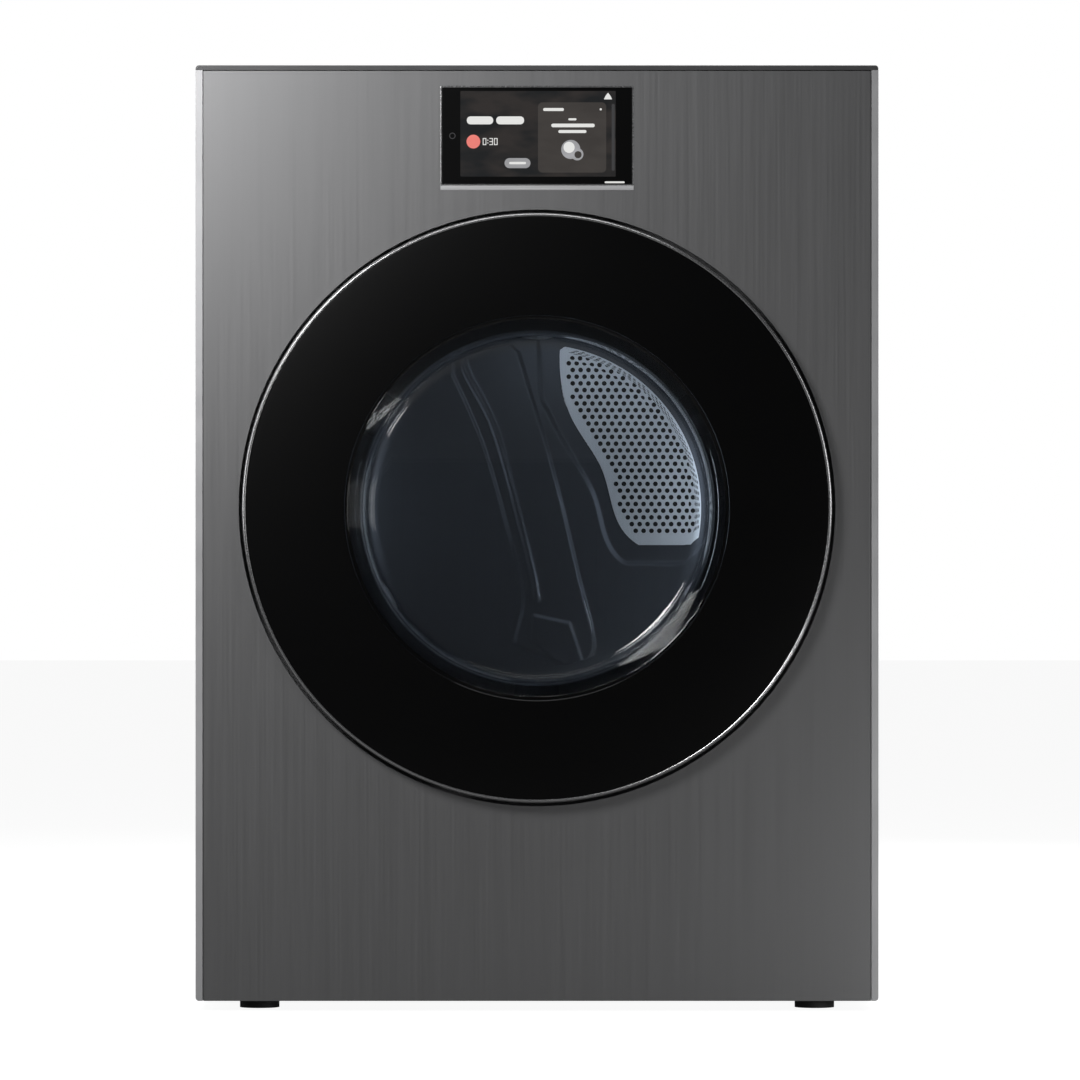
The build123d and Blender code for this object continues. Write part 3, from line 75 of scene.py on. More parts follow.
# ---------------------------------------------------------------- materials
class Shader:
    """A material with one Principled shader, and short calls for the nodes that feed it."""

    def __init__(self, name):
        self.material = bpy.data.materials.new(name)
        self.material.use_nodes = True
        self.tree = self.material.node_tree
        self.main = self.tree.nodes["Principled BSDF"]
        self.out = self.tree.nodes["Material Output"]
        self.place = self.tree.nodes.new("ShaderNodeTexCoord").outputs["Object"]
        self.normal = None

    def node(self, kind, **inputs):
        made = self.tree.nodes.new("ShaderNode" + kind)
        for key, value in inputs.items():
            self.feed(made.inputs[key.replace("_", " ")], value)
        return made

    def feed(self, socket, value):
        if isinstance(value, bpy.types.NodeSocket):
            self.tree.links.new(value, socket)
        elif hasattr(value, "__len__") and len(value) == 3 and socket.type == "RGBA":
            socket.default_value = (*value, 1)
        else:
            socket.default_value = value

    def set(self, **values):
        for key, value in values.items():
            self.feed(self.main.inputs[key.replace("_", " ")], value)
        return self

    def noise(self, scale, stretch=(1, 1, 1), detail=4.0, roughness=0.55):
        """Soft random pattern; a small stretch along one axis draws it out along that axis."""
        mapped = self.node("Mapping", Vector=self.place, Scale=stretch)
        made = self.node("TexNoise", Vector=mapped.outputs["Vector"], Scale=scale, Detail=detail,
                         Roughness=roughness)
        return made.outputs["Fac"]

    def cells(self, scale, stretch=(1, 1, 1), output="Distance"):
        """Pattern of irregular cells."""
        mapped = self.node("Mapping", Vector=self.place, Scale=stretch)
        return self.node("TexVoronoi", Vector=mapped.outputs["Vector"], Scale=scale).outputs[output]

    def span(self, value, low, high, start=0.3, end=0.7):
        """Value turned into a number that runs from low to high while it goes from start to end."""
        made = self.node("MapRange", Value=value)
        for key, number in (("From Min", start), ("From Max", end), ("To Min", low), ("To Max", high)):
            made.inputs[key].default_value = number
        return made.outputs["Result"]

    def blend(self, value, first, second):
        """Colour that goes from the first to the second as the value goes from 0 to 1."""
        made = self.tree.nodes.new("ShaderNodeMix")
        made.data_type = "RGBA"
        self.feed(made.inputs["Factor"], value)
        colours = [socket for socket in made.inputs if socket.type == "RGBA"]
        self.feed(colours[0], first)
        self.feed(colours[1], second)
        return [socket for socket in made.outputs if socket.type == "RGBA"][0]

    def bump(self, height, depth, strength=1.0):
        """Adds relief of this depth in metres, on top of any added before."""
        made = self.node("Bump", Height=height, Distance=depth, Strength=strength)
        if self.normal is not None:
            self.feed(made.inputs["Normal"], self.normal)
        self.normal = made.outputs["Normal"]
        self.set(Normal=self.normal)
        return self


def steel_sheet(name, dark, light, rough, stretch, metal=1.0, tone=(0.94, 1.05)):
    """Brushed metal: long fine streaks along the axis whose stretch is small."""
    s = Shader(name)
    streaks = s.noise(1.0, stretch, detail=6.0, roughness=0.7)
    broad = s.noise(1.0, tuple(0.08 * value for value in stretch), detail=3.0)
    cloudy = s.noise(3.2, detail=2.0)
    colour = s.blend(s.span(streaks, 0, 1), dark, light)
    shade = s.node("HueSaturation", Color=colour, Value=s.span(cloudy, *tone))
    s.set(Base_Color=s.blend(s.span(broad, 0, 0.35), shade.outputs["Color"], light))
    s.set(Metallic=metal)
    s.set(Roughness=s.span(streaks, rough - 0.05, rough + 0.06))
    return s.bump(streaks, 0.00002, 0.35).material


def painted(name, colour, rough, flake=0.06, metal=0.0, coat=0.0):
    """Satin enamel: orange peel, fine flakes and a faint unevenness of tone."""
    s = Shader(name)
    peel = s.noise(520.0, detail=3.0)
    flakes = s.cells(3600.0)
    cloudy = s.noise(5.0, detail=3.0)
    darker = tuple(0.86 * value for value in colour)
    brighter = tuple(min(1.0, value * (1 + flake * 3)) for value in colour)
    base = s.blend(s.span(cloudy, 0, 1), darker, colour)
    s.set(Base_Color=s.blend(s.span(flakes, flake * 4, 0, 0.0, 0.45), base, brighter))
    s.set(Metallic=metal, Coat_Weight=coat, Coat_Roughness=0.15)
    s.set(Roughness=s.span(s.noise(38.0), rough - 0.05, rough + 0.07))
    return s.bump(peel, 0.00003, 0.3).material


def galvanised(name):
    """Zinc-coated sheet with its crystal spangle, rolling lines and dull patches."""
    s = Shader(name)
    spangle = s.cells(240.0, output="Color")
    grey = s.node("RGBToBW", Color=spangle).outputs["Val"]
    rolling = s.noise(1.0, (30, 900, 900))
    s.set(Base_Color=s.blend(s.span(grey, 0, 1, 0.1, 0.9), (0.49, 0.50, 0.52), (0.57, 0.58, 0.60)))
    s.set(Metallic=0.9)
    s.set(Roughness=s.span(grey, 0.40, 0.50, 0.1, 0.9))
    s.bump(grey, 0.00001, 0.2)
    return s.bump(rolling, 0.00002, 0.2).material


def moulded(name, colour, rough, grain=1500.0, depth=0.00006):
    """Injection-moulded plastic with a fine spark-eroded grain and scuffed patches."""
    s = Shader(name)
    texture = s.noise(grain, detail=4.0, roughness=0.65)
    pebble = s.cells(grain * 0.6)
    scuff = s.noise(24.0, (1, 1, 2.5), detail=6.0)
    darker = tuple(0.8 * value for value in colour)
    s.set(Base_Color=s.blend(s.span(texture, 0, 1), darker, colour), Specular_IOR_Level=0.45)
    s.set(Roughness=s.span(scuff, rough - 0.07, rough + 0.08))
    s.bump(texture, depth, 0.5)
    return s.bump(pebble, depth, 0.35).material


def felt_cloth(name):
    """Pressed wool: fine fibres along the strip and soft tufts."""
    s = Shader(name)
    fibres = s.noise(1400.0, (1, 0.35, 1), detail=8.0, roughness=0.75)
    tufts = s.noise(210.0, detail=5.0)
    s.set(Base_Color=s.blend(s.span(fibres, 0, 1), (0.24, 0.22, 0.19), (0.50, 0.47, 0.42)))
    s.set(Roughness=s.span(tufts, 0.86, 0.98), Sheen_Weight=0.5, Sheen_Roughness=0.6)
    s.bump(fibres, 0.0004, 0.8)
    return s.bump(tufts, 0.0008, 0.6).material


def rubber(name):
    """Moulded rubber with a dusty bloom."""
    s = Shader(name)
    bloom = s.noise(30.0, detail=6.0)
    grain = s.noise(1700.0, detail=5.0)
    s.set(Base_Color=s.blend(s.span(bloom, 0, 1), (0.012, 0.012, 0.012), (0.032, 0.031, 0.030)))
    s.set(Roughness=s.span(bloom, 0.52, 0.72), Specular_IOR_Level=0.35)
    return s.bump(grain, 0.00008, 0.5).material


def black_glass(name):
    """Glass printed black on its back: nearly mirror smooth, with a trace of wiping marks."""
    s = Shader(name)
    wipes = s.noise(7.0, (1, 1, 3), detail=7.0, roughness=0.7)
    fine = s.noise(420.0, detail=2.0)
    s.set(Base_Color=s.blend(s.span(wipes, 0, 1), (0.0003, 0.0003, 0.0004), (0.0006, 0.0006, 0.0007)))
    s.set(Roughness=s.span(wipes, 0.035, 0.085), IOR=1.50, Specular_IOR_Level=0.05)
    s.set(Coat_Weight=0.24, Coat_Roughness=0.38)
    return s.bump(fine, 0.000002, 0.1).material


def clear_glass(name, tint):
    """Solid glass that lets lamp light through, with faint drips and smudges in its polish."""
    s = Shader(name)
    smudge = s.noise(16.0, (1, 1, 0.4), detail=6.0)
    ripple = s.noise(60.0, detail=2.0)
    s.set(Base_Color=s.blend(s.span(smudge, 0, 1), tint, tuple(min(1, v * 1.04) for v in tint)))
    s.set(Transmission_Weight=1.0, IOR=1.50)
    s.set(Roughness=s.span(smudge, 0, 0.0015))
    s.bump(ripple, 0.000004, 0.1)
    shadow = s.node("LightPath").outputs["Is Shadow Ray"]
    through = s.node("BsdfTransparent", Color=tint)
    mixed = s.node("MixShader", Fac=shadow)
    s.tree.links.new(s.main.outputs[0], mixed.inputs[1])
    s.tree.links.new(through.outputs[0], mixed.inputs[2])
    s.tree.links.new(mixed.outputs[0], s.out.inputs["Surface"])
    return s.material


def circuit_board(name):
    """Green lacquer over copper tracks, with the components' dark epoxy where it stands proud."""
    s = Shader(name)
    tracks = s.cells(420.0, (1, 1, 0.35))
    s.set(Base_Color=s.blend(s.span(tracks, 0, 1, 0.2, 0.5), (0.02, 0.13, 0.05), (0.05, 0.24, 0.09)))
    s.set(Roughness=s.span(s.noise(60.0), 0.28, 0.45), Coat_Weight=0.3)
    return s.bump(tracks, 0.00006, 0.5).material


def heater_metal(name):
    """Heater rods: oxidised brown with blued and scaled patches."""
    s = Shader(name)
    scale = s.noise(90.0, detail=8.0, roughness=0.7)
    s.set(Base_Color=s.blend(s.span(scale, 0, 1), (0.10, 0.07, 0.055), (0.26, 0.23, 0.25)), Metallic=0.7)
    s.set(Roughness=s.span(scale, 0.4, 0.7))
    return s.bump(scale, 0.0001, 0.5).material


VERTICAL = (900, 900, 5)     # streaks that run up and down
AROUND = (6, 900, 900)       # streaks that run across
MATERIALS = {
    "front_steel": steel_sheet("Front steel", (0.205, 0.205, 0.208), (0.225, 0.225, 0.228), 0.46,
                               VERTICAL, metal=0.85, tone=(0.985, 1.015)),
    "cabinet_paint": painted("Cabinet paint", (0.52, 0.52, 0.53), 0.40, metal=0.35, coat=0.2),
    "lid_paint": painted("Lid paint", (0.075, 0.075, 0.078), 0.40, metal=0.2, coat=0.2),
    "recess_paint": painted("Recess paint", (0.17, 0.17, 0.175), 0.42, metal=0.1, coat=0.15),
    "grille_steel": steel_sheet("Inlet grille", (0.66, 0.68, 0.70), (0.76, 0.78, 0.80), 0.40, VERTICAL,
                                metal=0.75),
    # Heater box behind the inlet: steel painted near black, a painted shade that makes the grille's holes
    # read dark.
    "duct_shade_steel": steel_sheet("Duct steel painted dark for shade", (0.018, 0.018, 0.020), (0.030, 0.028, 0.028), 0.55,
                                VERTICAL, metal=0.6),
    "galvanised": galvanised("Galvanised sheet"),
    "drum_steel": steel_sheet("Drum steel", (0.50, 0.51, 0.53), (0.60, 0.61, 0.63), 0.36, VERTICAL,
                              metal=0.95),
    "screw_steel": steel_sheet("Bright zinc", (0.50, 0.51, 0.52), (0.70, 0.70, 0.71), 0.24, AROUND),
    "trim_metal": steel_sheet("Trim metal", (0.46, 0.46, 0.465), (0.54, 0.54, 0.545), 0.26,
                              (900, 900, 900)),
    "back_wall": steel_sheet("Drum back wall", (0.052, 0.058, 0.068), (0.058, 0.065, 0.077), 0.34,
                             VERTICAL, metal=0.55, tone=(0.97, 1.03)),
    # The light tone of the lip under the display is a painted highlight for the glint on the cut-out's
    # lower bevel.
    "highlight_lip": steel_sheet("Display lip painted highlight", (0.62, 0.62, 0.63), (0.74, 0.74, 0.75), 0.35,
                              (12, 900, 900), metal=0.5),
    "black_glass": black_glass("Black printed glass"),
    "clear_glass": clear_glass("Clear glass", (0.90, 0.94, 0.97)),
    "dark_plastic": moulded("Black moulding", (0.022, 0.022, 0.024), 0.46),
    "grey_plastic": moulded("Grey moulding", (0.23, 0.24, 0.26), 0.48, grain=900.0),
    "felt": felt_cloth("Wool felt"),
    "rubber": rubber("Rubber"),
    "motor_paint": painted("Motor enamel", (0.07, 0.075, 0.08), 0.42),
    "duct_metal": steel_sheet("Aluminised duct", (0.55, 0.55, 0.56), (0.72, 0.72, 0.73), 0.30,
                              (900, 12, 900)),
    "heater_wire": heater_metal("Heater rods"),
    "board": circuit_board("Circuit board"),
}


def dress(obj, material):
    """Makes this the object's only material."""
    obj.data.materials.clear()
    obj.data.materials.append(material)
    return obj


# The heater box takes the near-black painted shade that darkens the grille's holes.
FINISHES = {"door_recess": "recess_paint", "inlet_grille": "grille_steel", "heater_box": "duct_shade_steel"}


def dress_frame():
    """Gives each CAD node the finish that the record names for it, then the few finer ones."""
    for part in frame["record"]["subparts"]:
        dress(frame["nodes"][part["node"]], MATERIALS[part["material_slot"]])
    for node, finish in FINISHES.items():
        dress(frame["nodes"][node], MATERIALS[finish])


# ---------------------------------------------------------------- mesh helpers
TURN_STEPS = 288             # steps round a turned piece


def piece(name, mesh, slot, body="root", replaces=()):
    """New object from a bmesh, dressed, riding on its body and standing for CAD nodes."""
    data = bpy.data.meshes.new(name)
    bmesh.ops.recalc_face_normals(mesh, faces=mesh.faces)
    mesh.to_mesh(data)
    mesh.free()
    obj = bpy.data.objects.new(name, data)
    bpy.context.scene.collection.objects.link(obj)
    dress(obj, MATERIALS[slot])
    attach(obj, body)
    if replaces:
        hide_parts(*replaces)
    return obj


def smooth(obj, angle=35):
    """Shades flat faces flat and curved ones smooth, split at edges sharper than the angle."""
    for face in obj.data.polygons:
        face.use_smooth = True
    obj.data.set_sharp_from_angle(angle=math.radians(angle))
    return obj


def rounded_profile(points, radius, steps=4):
    """Closed profile with each corner replaced by a short arc no larger than the radius."""
    made = []
    count = len(points)
    for index, corner in enumerate(points):
        corner = Vector(corner)
        before = Vector(points[index - 1]) - corner
        after = Vector(points[(index + 1) % count]) - corner
        reach = min(radius, before.length * 0.45, after.length * 0.45)
        start, end = corner + before.normalized() * reach, corner + after.normalized() * reach
        for step in range(steps + 1):
            t = step / steps
            made.append((1 - t) ** 2 * start + 2 * t * (1 - t) * corner + t ** 2 * end)
    return made


def turned(profile):
    """Mesh of a closed (radius, y) profile turned about the drum's axis."""
    mesh = bmesh.new()
    rings = []
    for step in range(TURN_STEPS):
        angle = 2 * math.pi * step / TURN_STEPS
        rings.append([mesh.verts.new((r * math.cos(angle), y, AXIS_Z + r * math.sin(angle)))
                      for r, y in profile])
    count = len(profile)
    for step in range(TURN_STEPS):
        here, there = rings[step], rings[(step + 1) % TURN_STEPS]
        for index in range(count):
            after = (index + 1) % count
            mesh.faces.new((here[index], here[after], there[after], there[index]))
    bmesh.ops.remove_doubles(mesh, verts=mesh.verts, dist=1e-6)
    return mesh


# ---------------------------------------------------------------- door glass and trim
GLASS = 3 * MM
BOWL_GLASS = 4 * MM
DOOR_DOME = 4 * MM
BOWL_TAPER = 18 * MM
BOWL_CROWN = 6.2 * MM
BOWL_CORNER = 11 * MM        # round between the bowl's wall and its bottom
LIP_DROP = 1.2 * MM          # how far the wall starts below the lip's face
LIP_ROLL = ((2.2 * MM, 0), (0.6 * MM, 0.4 * MM))    # rolled lip, as (outwards, down) from the wall
GROUND_EDGE = 0.7 * MM       # ground bevel on the ring glass
TRIM_GAP = 0.1 * MM          # between the ring glass and its bead
TRIM_STEP = 0.5 * MM         # return on the bead's inner side
TRIM_LAND = (0.25, 0.55)     # flat land's start and end, as shares of the bead's width
TRIM_SHOULDER = (0.12, 1.6 * MM)    # shoulder's inset, as a share of the width, and its depth
TRIM_SIDE = 3.4 * MM         # depth at which the bead is widest
TRIM_ROUND = 0.6 * MM
CURVE_STEPS = 24
CORNER_STEPS = 10


def ring_glass():
    """Domed black glass ring with a ground and polished edge on both sides."""
    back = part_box("door_ring_glass")[1].y
    front = back - GLASS
    middle = (WINDOW + GLASS_OUTER) / 2
    half = GLASS_OUTER - middle

    def dome(radius):
        lean = (GLASS_OUTER - radius) / (2 * half)
        return DOOR_DOME * (1 - (1 - lean) ** 2)

    radii = [WINDOW + (GLASS_OUTER - WINDOW) * step / CURVE_STEPS for step in range(CURVE_STEPS + 1)]
    face = [(r, front - dome(r)) for r in radii]
    rear = [(r, back - dome(r)) for r in reversed(radii)]
    face[0] = (face[0][0] + GROUND_EDGE, face[0][1])
    face[-1] = (face[-1][0] - GROUND_EDGE, face[-1][1])
    profile = [(WINDOW, face[0][1] + GROUND_EDGE), *face, (GLASS_OUTER, face[-1][1] + GROUND_EDGE), *rear]
    return smooth(piece("door_glass_ring", turned(profile), "black_glass", "door", ["door_ring_glass"]))


def trim_ring():
    """Polished bead round the door glass: a flat land, a round shoulder and a small return."""
    low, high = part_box("door_trim_ring")
    outer, inner = DOOR_RADIUS, GLASS_OUTER + TRIM_GAP
    front, back = low.y, high.y
    wide = outer - inner
    points = [(inner, front + TRIM_STEP), *((inner + share * wide, front) for share in TRIM_LAND),
              (outer - TRIM_SHOULDER[0] * wide, front + TRIM_SHOULDER[1]), (outer, front + TRIM_SIDE),
              (outer, back), (inner, back)]
    profile = rounded_profile(points, TRIM_ROUND)
    return smooth(piece("door_trim_bead", turned(profile), "trim_metal", "door", ["door_trim_ring"]), 50)


def bowl_side(lip, foot, lip_y, deep, crown, corner):
    """Line of one side of the bowl, from its lip down the wall and over the bottom to the axis."""
    bottom = deep - crown
    wall = Vector((foot - lip, bottom - lip_y)).normalized()
    start = Vector((foot, bottom)) - wall * corner
    across = Vector((foot - corner, bottom + crown * (1 - ((foot - corner) / foot) ** 2)))
    turn = [((1 - t) ** 2 * start + 2 * t * (1 - t) * Vector((foot, bottom)) + t ** 2 * across)
            for t in (step / CORNER_STEPS for step in range(CORNER_STEPS + 1))]
    dome = [(across.x * (1 - t), bottom + crown * (1 - (across.x * (1 - t) / foot) ** 2))
            for t in (step / CURVE_STEPS for step in range(1, CURVE_STEPS + 1))]
    return [(lip, lip_y), *turn, *dome]


def window_bowl():
    """Clear bowl with a rolled lip behind the ring glass, a tapering wall and a domed bottom."""
    seat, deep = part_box("door_bowl")[0].y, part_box("door_bowl")[1].y
    lip = WINDOW - BOWL_GLASS
    foot = lip - BOWL_TAPER
    inside = bowl_side(lip, foot, seat + LIP_DROP, deep - BOWL_GLASS, BOWL_CROWN, BOWL_CORNER)
    outside = bowl_side(WINDOW, foot + BOWL_GLASS, seat + GLASS, deep, BOWL_CROWN,
                        BOWL_CORNER + BOWL_GLASS / 2)
    flange = [(BOWL_FLANGE, seat + GLASS), (BOWL_FLANGE, seat),
              *((lip + out, seat + down) for out, down in LIP_ROLL)]
    profile = [*reversed(outside), *flange, *inside]
    return smooth(piece("door_window_bowl", turned(profile), "clear_glass", "door", ["door_bowl"]), 40)


# ---------------------------------------------------------------- drum's back wall
BAND_RISE = 5 * MM
SKIN = 0.3 * MM              # pressed skin stands this far in front of the flat sheet
SKIN_SHEET = 0.2 * MM
SKIN_RINGS, SKIN_SPOKES = 190, 640
FELT_GAP = 6 * MM            # between the skin's rim and the felt's outside
LAND = 2.4 * MM              # general level of the pressing round the inlet
CREASE_HEIGHT = 1.6 * MM
FACET_HEIGHT = 1.5 * MM
# Widths and lines in millimetres; the lines are (x, z) from the drum's axis.
SURROUND_SLOPE = 6
RIM_FLAT, RIM_SLOPE = 16, 10
BAND_MARGIN, BAND_SLOPE = 1, 9
CREASE_WIDTH = 3.2
FACET_SLOPE, FACET_REACH = 5, 2
BLEND_SLOPE = 4
INLET_LAP = 1.6              # the skin laps this far over the grille
BAND_LEFT = ((-128, 232), (-97, 167), (-58, 80), (-30, -15), (-12, -92), (-21, -145))
BAND_RIGHT = ((40, -178), (59, -150), (42, -73), (12, 50), (-24, 174), (-42, 236))
BAND_CREASE = ((-108, 222), (-79, 153), (-46, 86), (-9, -51), (0, -97))
FOOT_FACET = ((-3, -118), (-3, -142), (36, -178), (50, -174), (34, -126))
GRILLE_LEFT = ((26, 145), (38, 102), (72, 44), (92, -18), (112, -38))
GRILLE_TOP_X = 38
GRILLE_RADIUS = 226
SURROUND_LEFT = ((6, 144), (15.4, 110), (36, 70), (64, 22), (79, -30), (95, -53))
SURROUND_LOW = -55
SURROUND_TOP_X, SURROUND_FOOT_X = 4, 112


def curve_through(points, steps=14):
    """Points of a smooth curve through the given ones."""
    given = [Vector(p) for p in points]
    given = [2 * given[0] - given[1], *given, 2 * given[-1] - given[-2]]
    made = []
    for a, b, c, d in zip(given, given[1:], given[2:], given[3:]):
        for step in range(steps):
            t = step / steps
            made.append(0.5 * (2 * b + (c - a) * t + (2 * a - 5 * b + 4 * c - d) * t ** 2
                               + (3 * b - a - 3 * c + d) * t ** 3))
    return [*made, given[-2]]


def arc_back(low_z, top_x, radius, steps=24):
    """Points on a circle round the drum's axis, from the low edge up to the top."""
    start = math.asin(low_z / radius)
    end = math.acos(top_x / radius)
    angles = [start + (end - start) * step / steps for step in range(steps + 1)]
    return [Vector((radius * math.cos(a), radius * math.sin(a))) for a in angles]


def grille_line():
    """Closed outline of the air inlet."""
    top = (GRILLE_TOP_X, math.sqrt(GRILLE_RADIUS ** 2 - GRILLE_TOP_X ** 2))
    left = curve_through((top, *GRILLE_LEFT))
    return left + arc_back(GRILLE_LEFT[-1][1], GRILLE_TOP_X, GRILLE_RADIUS)


def surround_line(radius):
    """Closed outline of the sunken land round the inlet, out to this radius."""
    top_z = math.sqrt(radius ** 2 - SURROUND_TOP_X ** 2)
    left = curve_through(((SURROUND_TOP_X, top_z), *SURROUND_LEFT, (SURROUND_FOOT_X, SURROUND_LOW)))
    return left + arc_back(SURROUND_LOW, SURROUND_TOP_X, radius)


def side_of(points, x, z):
    """Distance of each (x, z) from a closed line, negative inside it."""
    corners = np.array([[p[0], p[1]] for p in points])
    ends = np.roll(corners, -1, axis=0)
    nearest = np.full(x.shape, 1e9)
    inside = np.zeros(x.shape, bool)
    for (ax, az), (bx, bz) in zip(corners, ends):
        dx, dz = bx - ax, bz - az
        t = np.clip(((x - ax) * dx + (z - az) * dz) / max(dx * dx + dz * dz, 1e-9), 0, 1)
        nearest = np.minimum(nearest, np.hypot(x - ax - t * dx, z - az - t * dz))
        if az != bz:
            crossing = (az > z) != (bz > z)
            inside ^= crossing & (x < (bx - ax) * (z - az) / (bz - az) + ax)
    return np.where(inside, -nearest, nearest)


def rise(distance, width):
    """Smooth step from 1 at the line, and inside it, to 0 at this distance outside."""
    t = np.clip(1 - distance / width, 0, 1)
    return t * t * (3 - 2 * t)


def back_relief(x, z, radius):
    """Height in metres of the pressed back wall at (x, z) millimetres from the axis."""
    band = side_of([*curve_through(BAND_LEFT), *curve_through(BAND_RIGHT)], x, z)
    crease = side_of([*curve_through(BAND_CREASE), *reversed(curve_through(BAND_CREASE))], x, z)
    facet = side_of(FOOT_FACET, x, z)
    surround = side_of(surround_line(radius), x, z)
    height = (SKIN + LAND * (1 - rise(surround, SURROUND_SLOPE))
              * rise(np.hypot(x, z) - radius + RIM_FLAT, RIM_SLOPE))
    height = np.maximum(height, SKIN + BAND_RISE * rise(band - BAND_MARGIN, BAND_SLOPE))
    height += CREASE_HEIGHT * np.exp(-(crease / CREASE_WIDTH) ** 2) * rise(band, BLEND_SLOPE)
    return height + FACET_HEIGHT * rise(facet, FACET_SLOPE) * rise(band + FACET_REACH, BLEND_SLOPE)


def back_skin():
    """Pressed stainless skin of the drum's fixed back wall, open where the air comes in."""
    wall_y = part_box("rear_bulkhead")[0].y + BAND_RISE
    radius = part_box("rear_felt")[1].x - FELT_GAP
    rings = np.linspace(1.0, radius / MM, SKIN_RINGS)
    angles = np.linspace(0, 2 * math.pi, SKIN_SPOKES, endpoint=False)
    r, a = np.meshgrid(rings, angles, indexing="ij")
    x, z = r * np.cos(a), r * np.sin(a)
    height = back_relief(x, z, radius / MM)
    open_air = side_of(grille_line(), x, z) < -INLET_LAP
    mesh = bmesh.new()
    verts = [[mesh.verts.new((x[i, j] * MM, wall_y - height[i, j], AXIS_Z + z[i, j] * MM))
              for j in range(SKIN_SPOKES)] for i in range(SKIN_RINGS)]
    for i in range(SKIN_RINGS - 1):
        for j in range(SKIN_SPOKES):
            after = (j + 1) % SKIN_SPOKES
            if not open_air[i:i + 2, [j, after]].any():
                mesh.faces.new((verts[i][j], verts[i + 1][j], verts[i + 1][after], verts[i][after]))
    mesh.faces.new(verts[0])
    bmesh.ops.delete(mesh, geom=[v for v in mesh.verts if not v.link_faces], context="VERTS")
    skin = smooth(piece("drum_back_skin", mesh, "back_wall"), 60)
    thickness = skin.modifiers.new("Sheet", "SOLIDIFY")
    thickness.thickness = SKIN_SHEET
    thickness.offset = -1


# ---------------------------------------------------------------- display
# Places on the display in millimetres from its centre: boxes as low x, high x, low z, high z,
# and discs as x, z, radius.
PICTURE = (-77, 79, -41, 45)
CARD = (1, 69.5, -37, 33.6)
HEADING = ((-70.5, -44, 11.5, 19.5), (-41, -13, 11.5, 19.5))
CARD_LINES = ((6.2, 27, 24.9, 27.9), (31.5, 39.6, 15.5, 17.6), (14.4, 57.9, 8.6, 12.2),
              (21.5, 49.6, 2.8, 5.8), (68, 88, -47.6, -45.8))
PILL = (-32.6, -6.6, -32.5, -22.4)
PILL_LINE = (-28, -11, -28.6, -26.2)
SCROLL = (75, 78, -35, 32)
KNOB = (-63.9, -5.8, 6.9)
TOUCH_KEY = (-85, 0, 3.2)
TOUCH_LINE = 0.9             # width of the touch key's ring
CLOSE_DOT = (64, 26.6, 1.1)
MARKER = ((67.2, 36.6), (75.4, 36.6), (73.6, 40.4), (71.3, 43.4), (69.0, 40.4))
ICON_DRUM, ICON_DOOR = (33.9, -13.7, 9.6), (40.4, -18.5, 6.2)
ICON_MOUTH, ICON_LIGHT = (41.2, -19.0, 3.6), (32.2, -11.6, 5.6)
PICTURE_ROUND, CARD_ROUND, SCROLL_ROUND, PILL_ROUND, PILL_LINE_ROUND = 1.0, 4.5, 1.4, 5, 1.1
CLOCK = "0:30"
CLOCK_LEFT, CLOCK_MIDDLE = -54.5, -5.8
DIGIT_WIDTH, DIGIT_HEIGHT, DIGIT_LINE, DIGIT_GAP, DIGIT_ROUND = 3.6, 7.0, 0.8, 1.1, 0.3
COLON_INSET, COLON_RISE, COLON_DOT, COLON_WIDTH = 0.4, 1.4, 0.55, 1.9
LIT_BARS = {"0": "abcdef", "3": "abcdg"}
SCREEN_LAYER = 0.06 * MM


def glowing(name, colour, second=None):
    """Lit part of the picture under the display's glass: fine cells and a slow drift of tone."""
    s = Shader(name)
    cells = s.cells(2600.0)
    drift = s.noise(22.0, (1, 1, 2.4), detail=2.0)
    picture = s.blend(s.span(drift, 0, 1, 0.38, 0.62), colour, second or colour)
    lit = s.blend(s.span(cells, 0, 0.25, 0.0, 0.6), picture, tuple(0.8 * v for v in colour))
    s.set(Base_Color=(0.01, 0.01, 0.01), Emission_Color=lit, Emission_Strength=1.0)
    s.set(Roughness=s.span(drift, 0.08, 0.14), IOR=1.5)
    return s.material


MATERIALS["picture"] = glowing("Screen picture", (0.007, 0.008, 0.009), (0.028, 0.023, 0.021))
MATERIALS["card"] = glowing("Screen card", (0.041, 0.036, 0.033), (0.052, 0.046, 0.042))
MATERIALS["white_mark"] = glowing("Screen white", (0.80, 0.80, 0.78))
MATERIALS["grey_mark"] = glowing("Screen grey", (0.30, 0.30, 0.31), (0.42, 0.42, 0.44))
MATERIALS["dim_mark"] = glowing("Screen dim", (0.045, 0.045, 0.047))
MATERIALS["coral_mark"] = glowing("Screen coral", (0.88, 0.24, 0.20), (0.80, 0.18, 0.16))


def rounded_box(x0, x1, z0, z1, radius, steps=8):
    """Outline of a box with round corners."""
    made = []
    for x, z, turn in ((x1 - radius, z1 - radius, 0), (x0 + radius, z1 - radius, 1),
                       (x0 + radius, z0 + radius, 2), (x1 - radius, z0 + radius, 3)):
        for step in range(steps + 1):
            angle = math.pi / 2 * (turn + step / steps)
            made.append((x + radius * math.cos(angle), z + radius * math.sin(angle)))
    return made


def disc(x, z, radius, steps=48):
    return [(x + radius * math.cos(2 * math.pi * i / steps), z + radius * math.sin(2 * math.pi * i / steps))
            for i in range(steps)]


def digit_bars(digit, left, middle):
    """Boxes of the lit bars of one seven-bar digit."""
    right, half, line = left + DIGIT_WIDTH, DIGIT_HEIGHT / 2, DIGIT_LINE
    low, high = middle - half, middle + half
    bars = {"a": (left, right, high - line, high), "g": (left, right, middle - line / 2, middle + line / 2),
            "d": (left, right, low, low + line), "b": (right - line, right, middle, high),
            "c": (right - line, right, low, middle), "f": (left, left + line, middle, high),
            "e": (left, left + line, low, middle)}
    return [bars[name] for name in LIT_BARS[digit]]


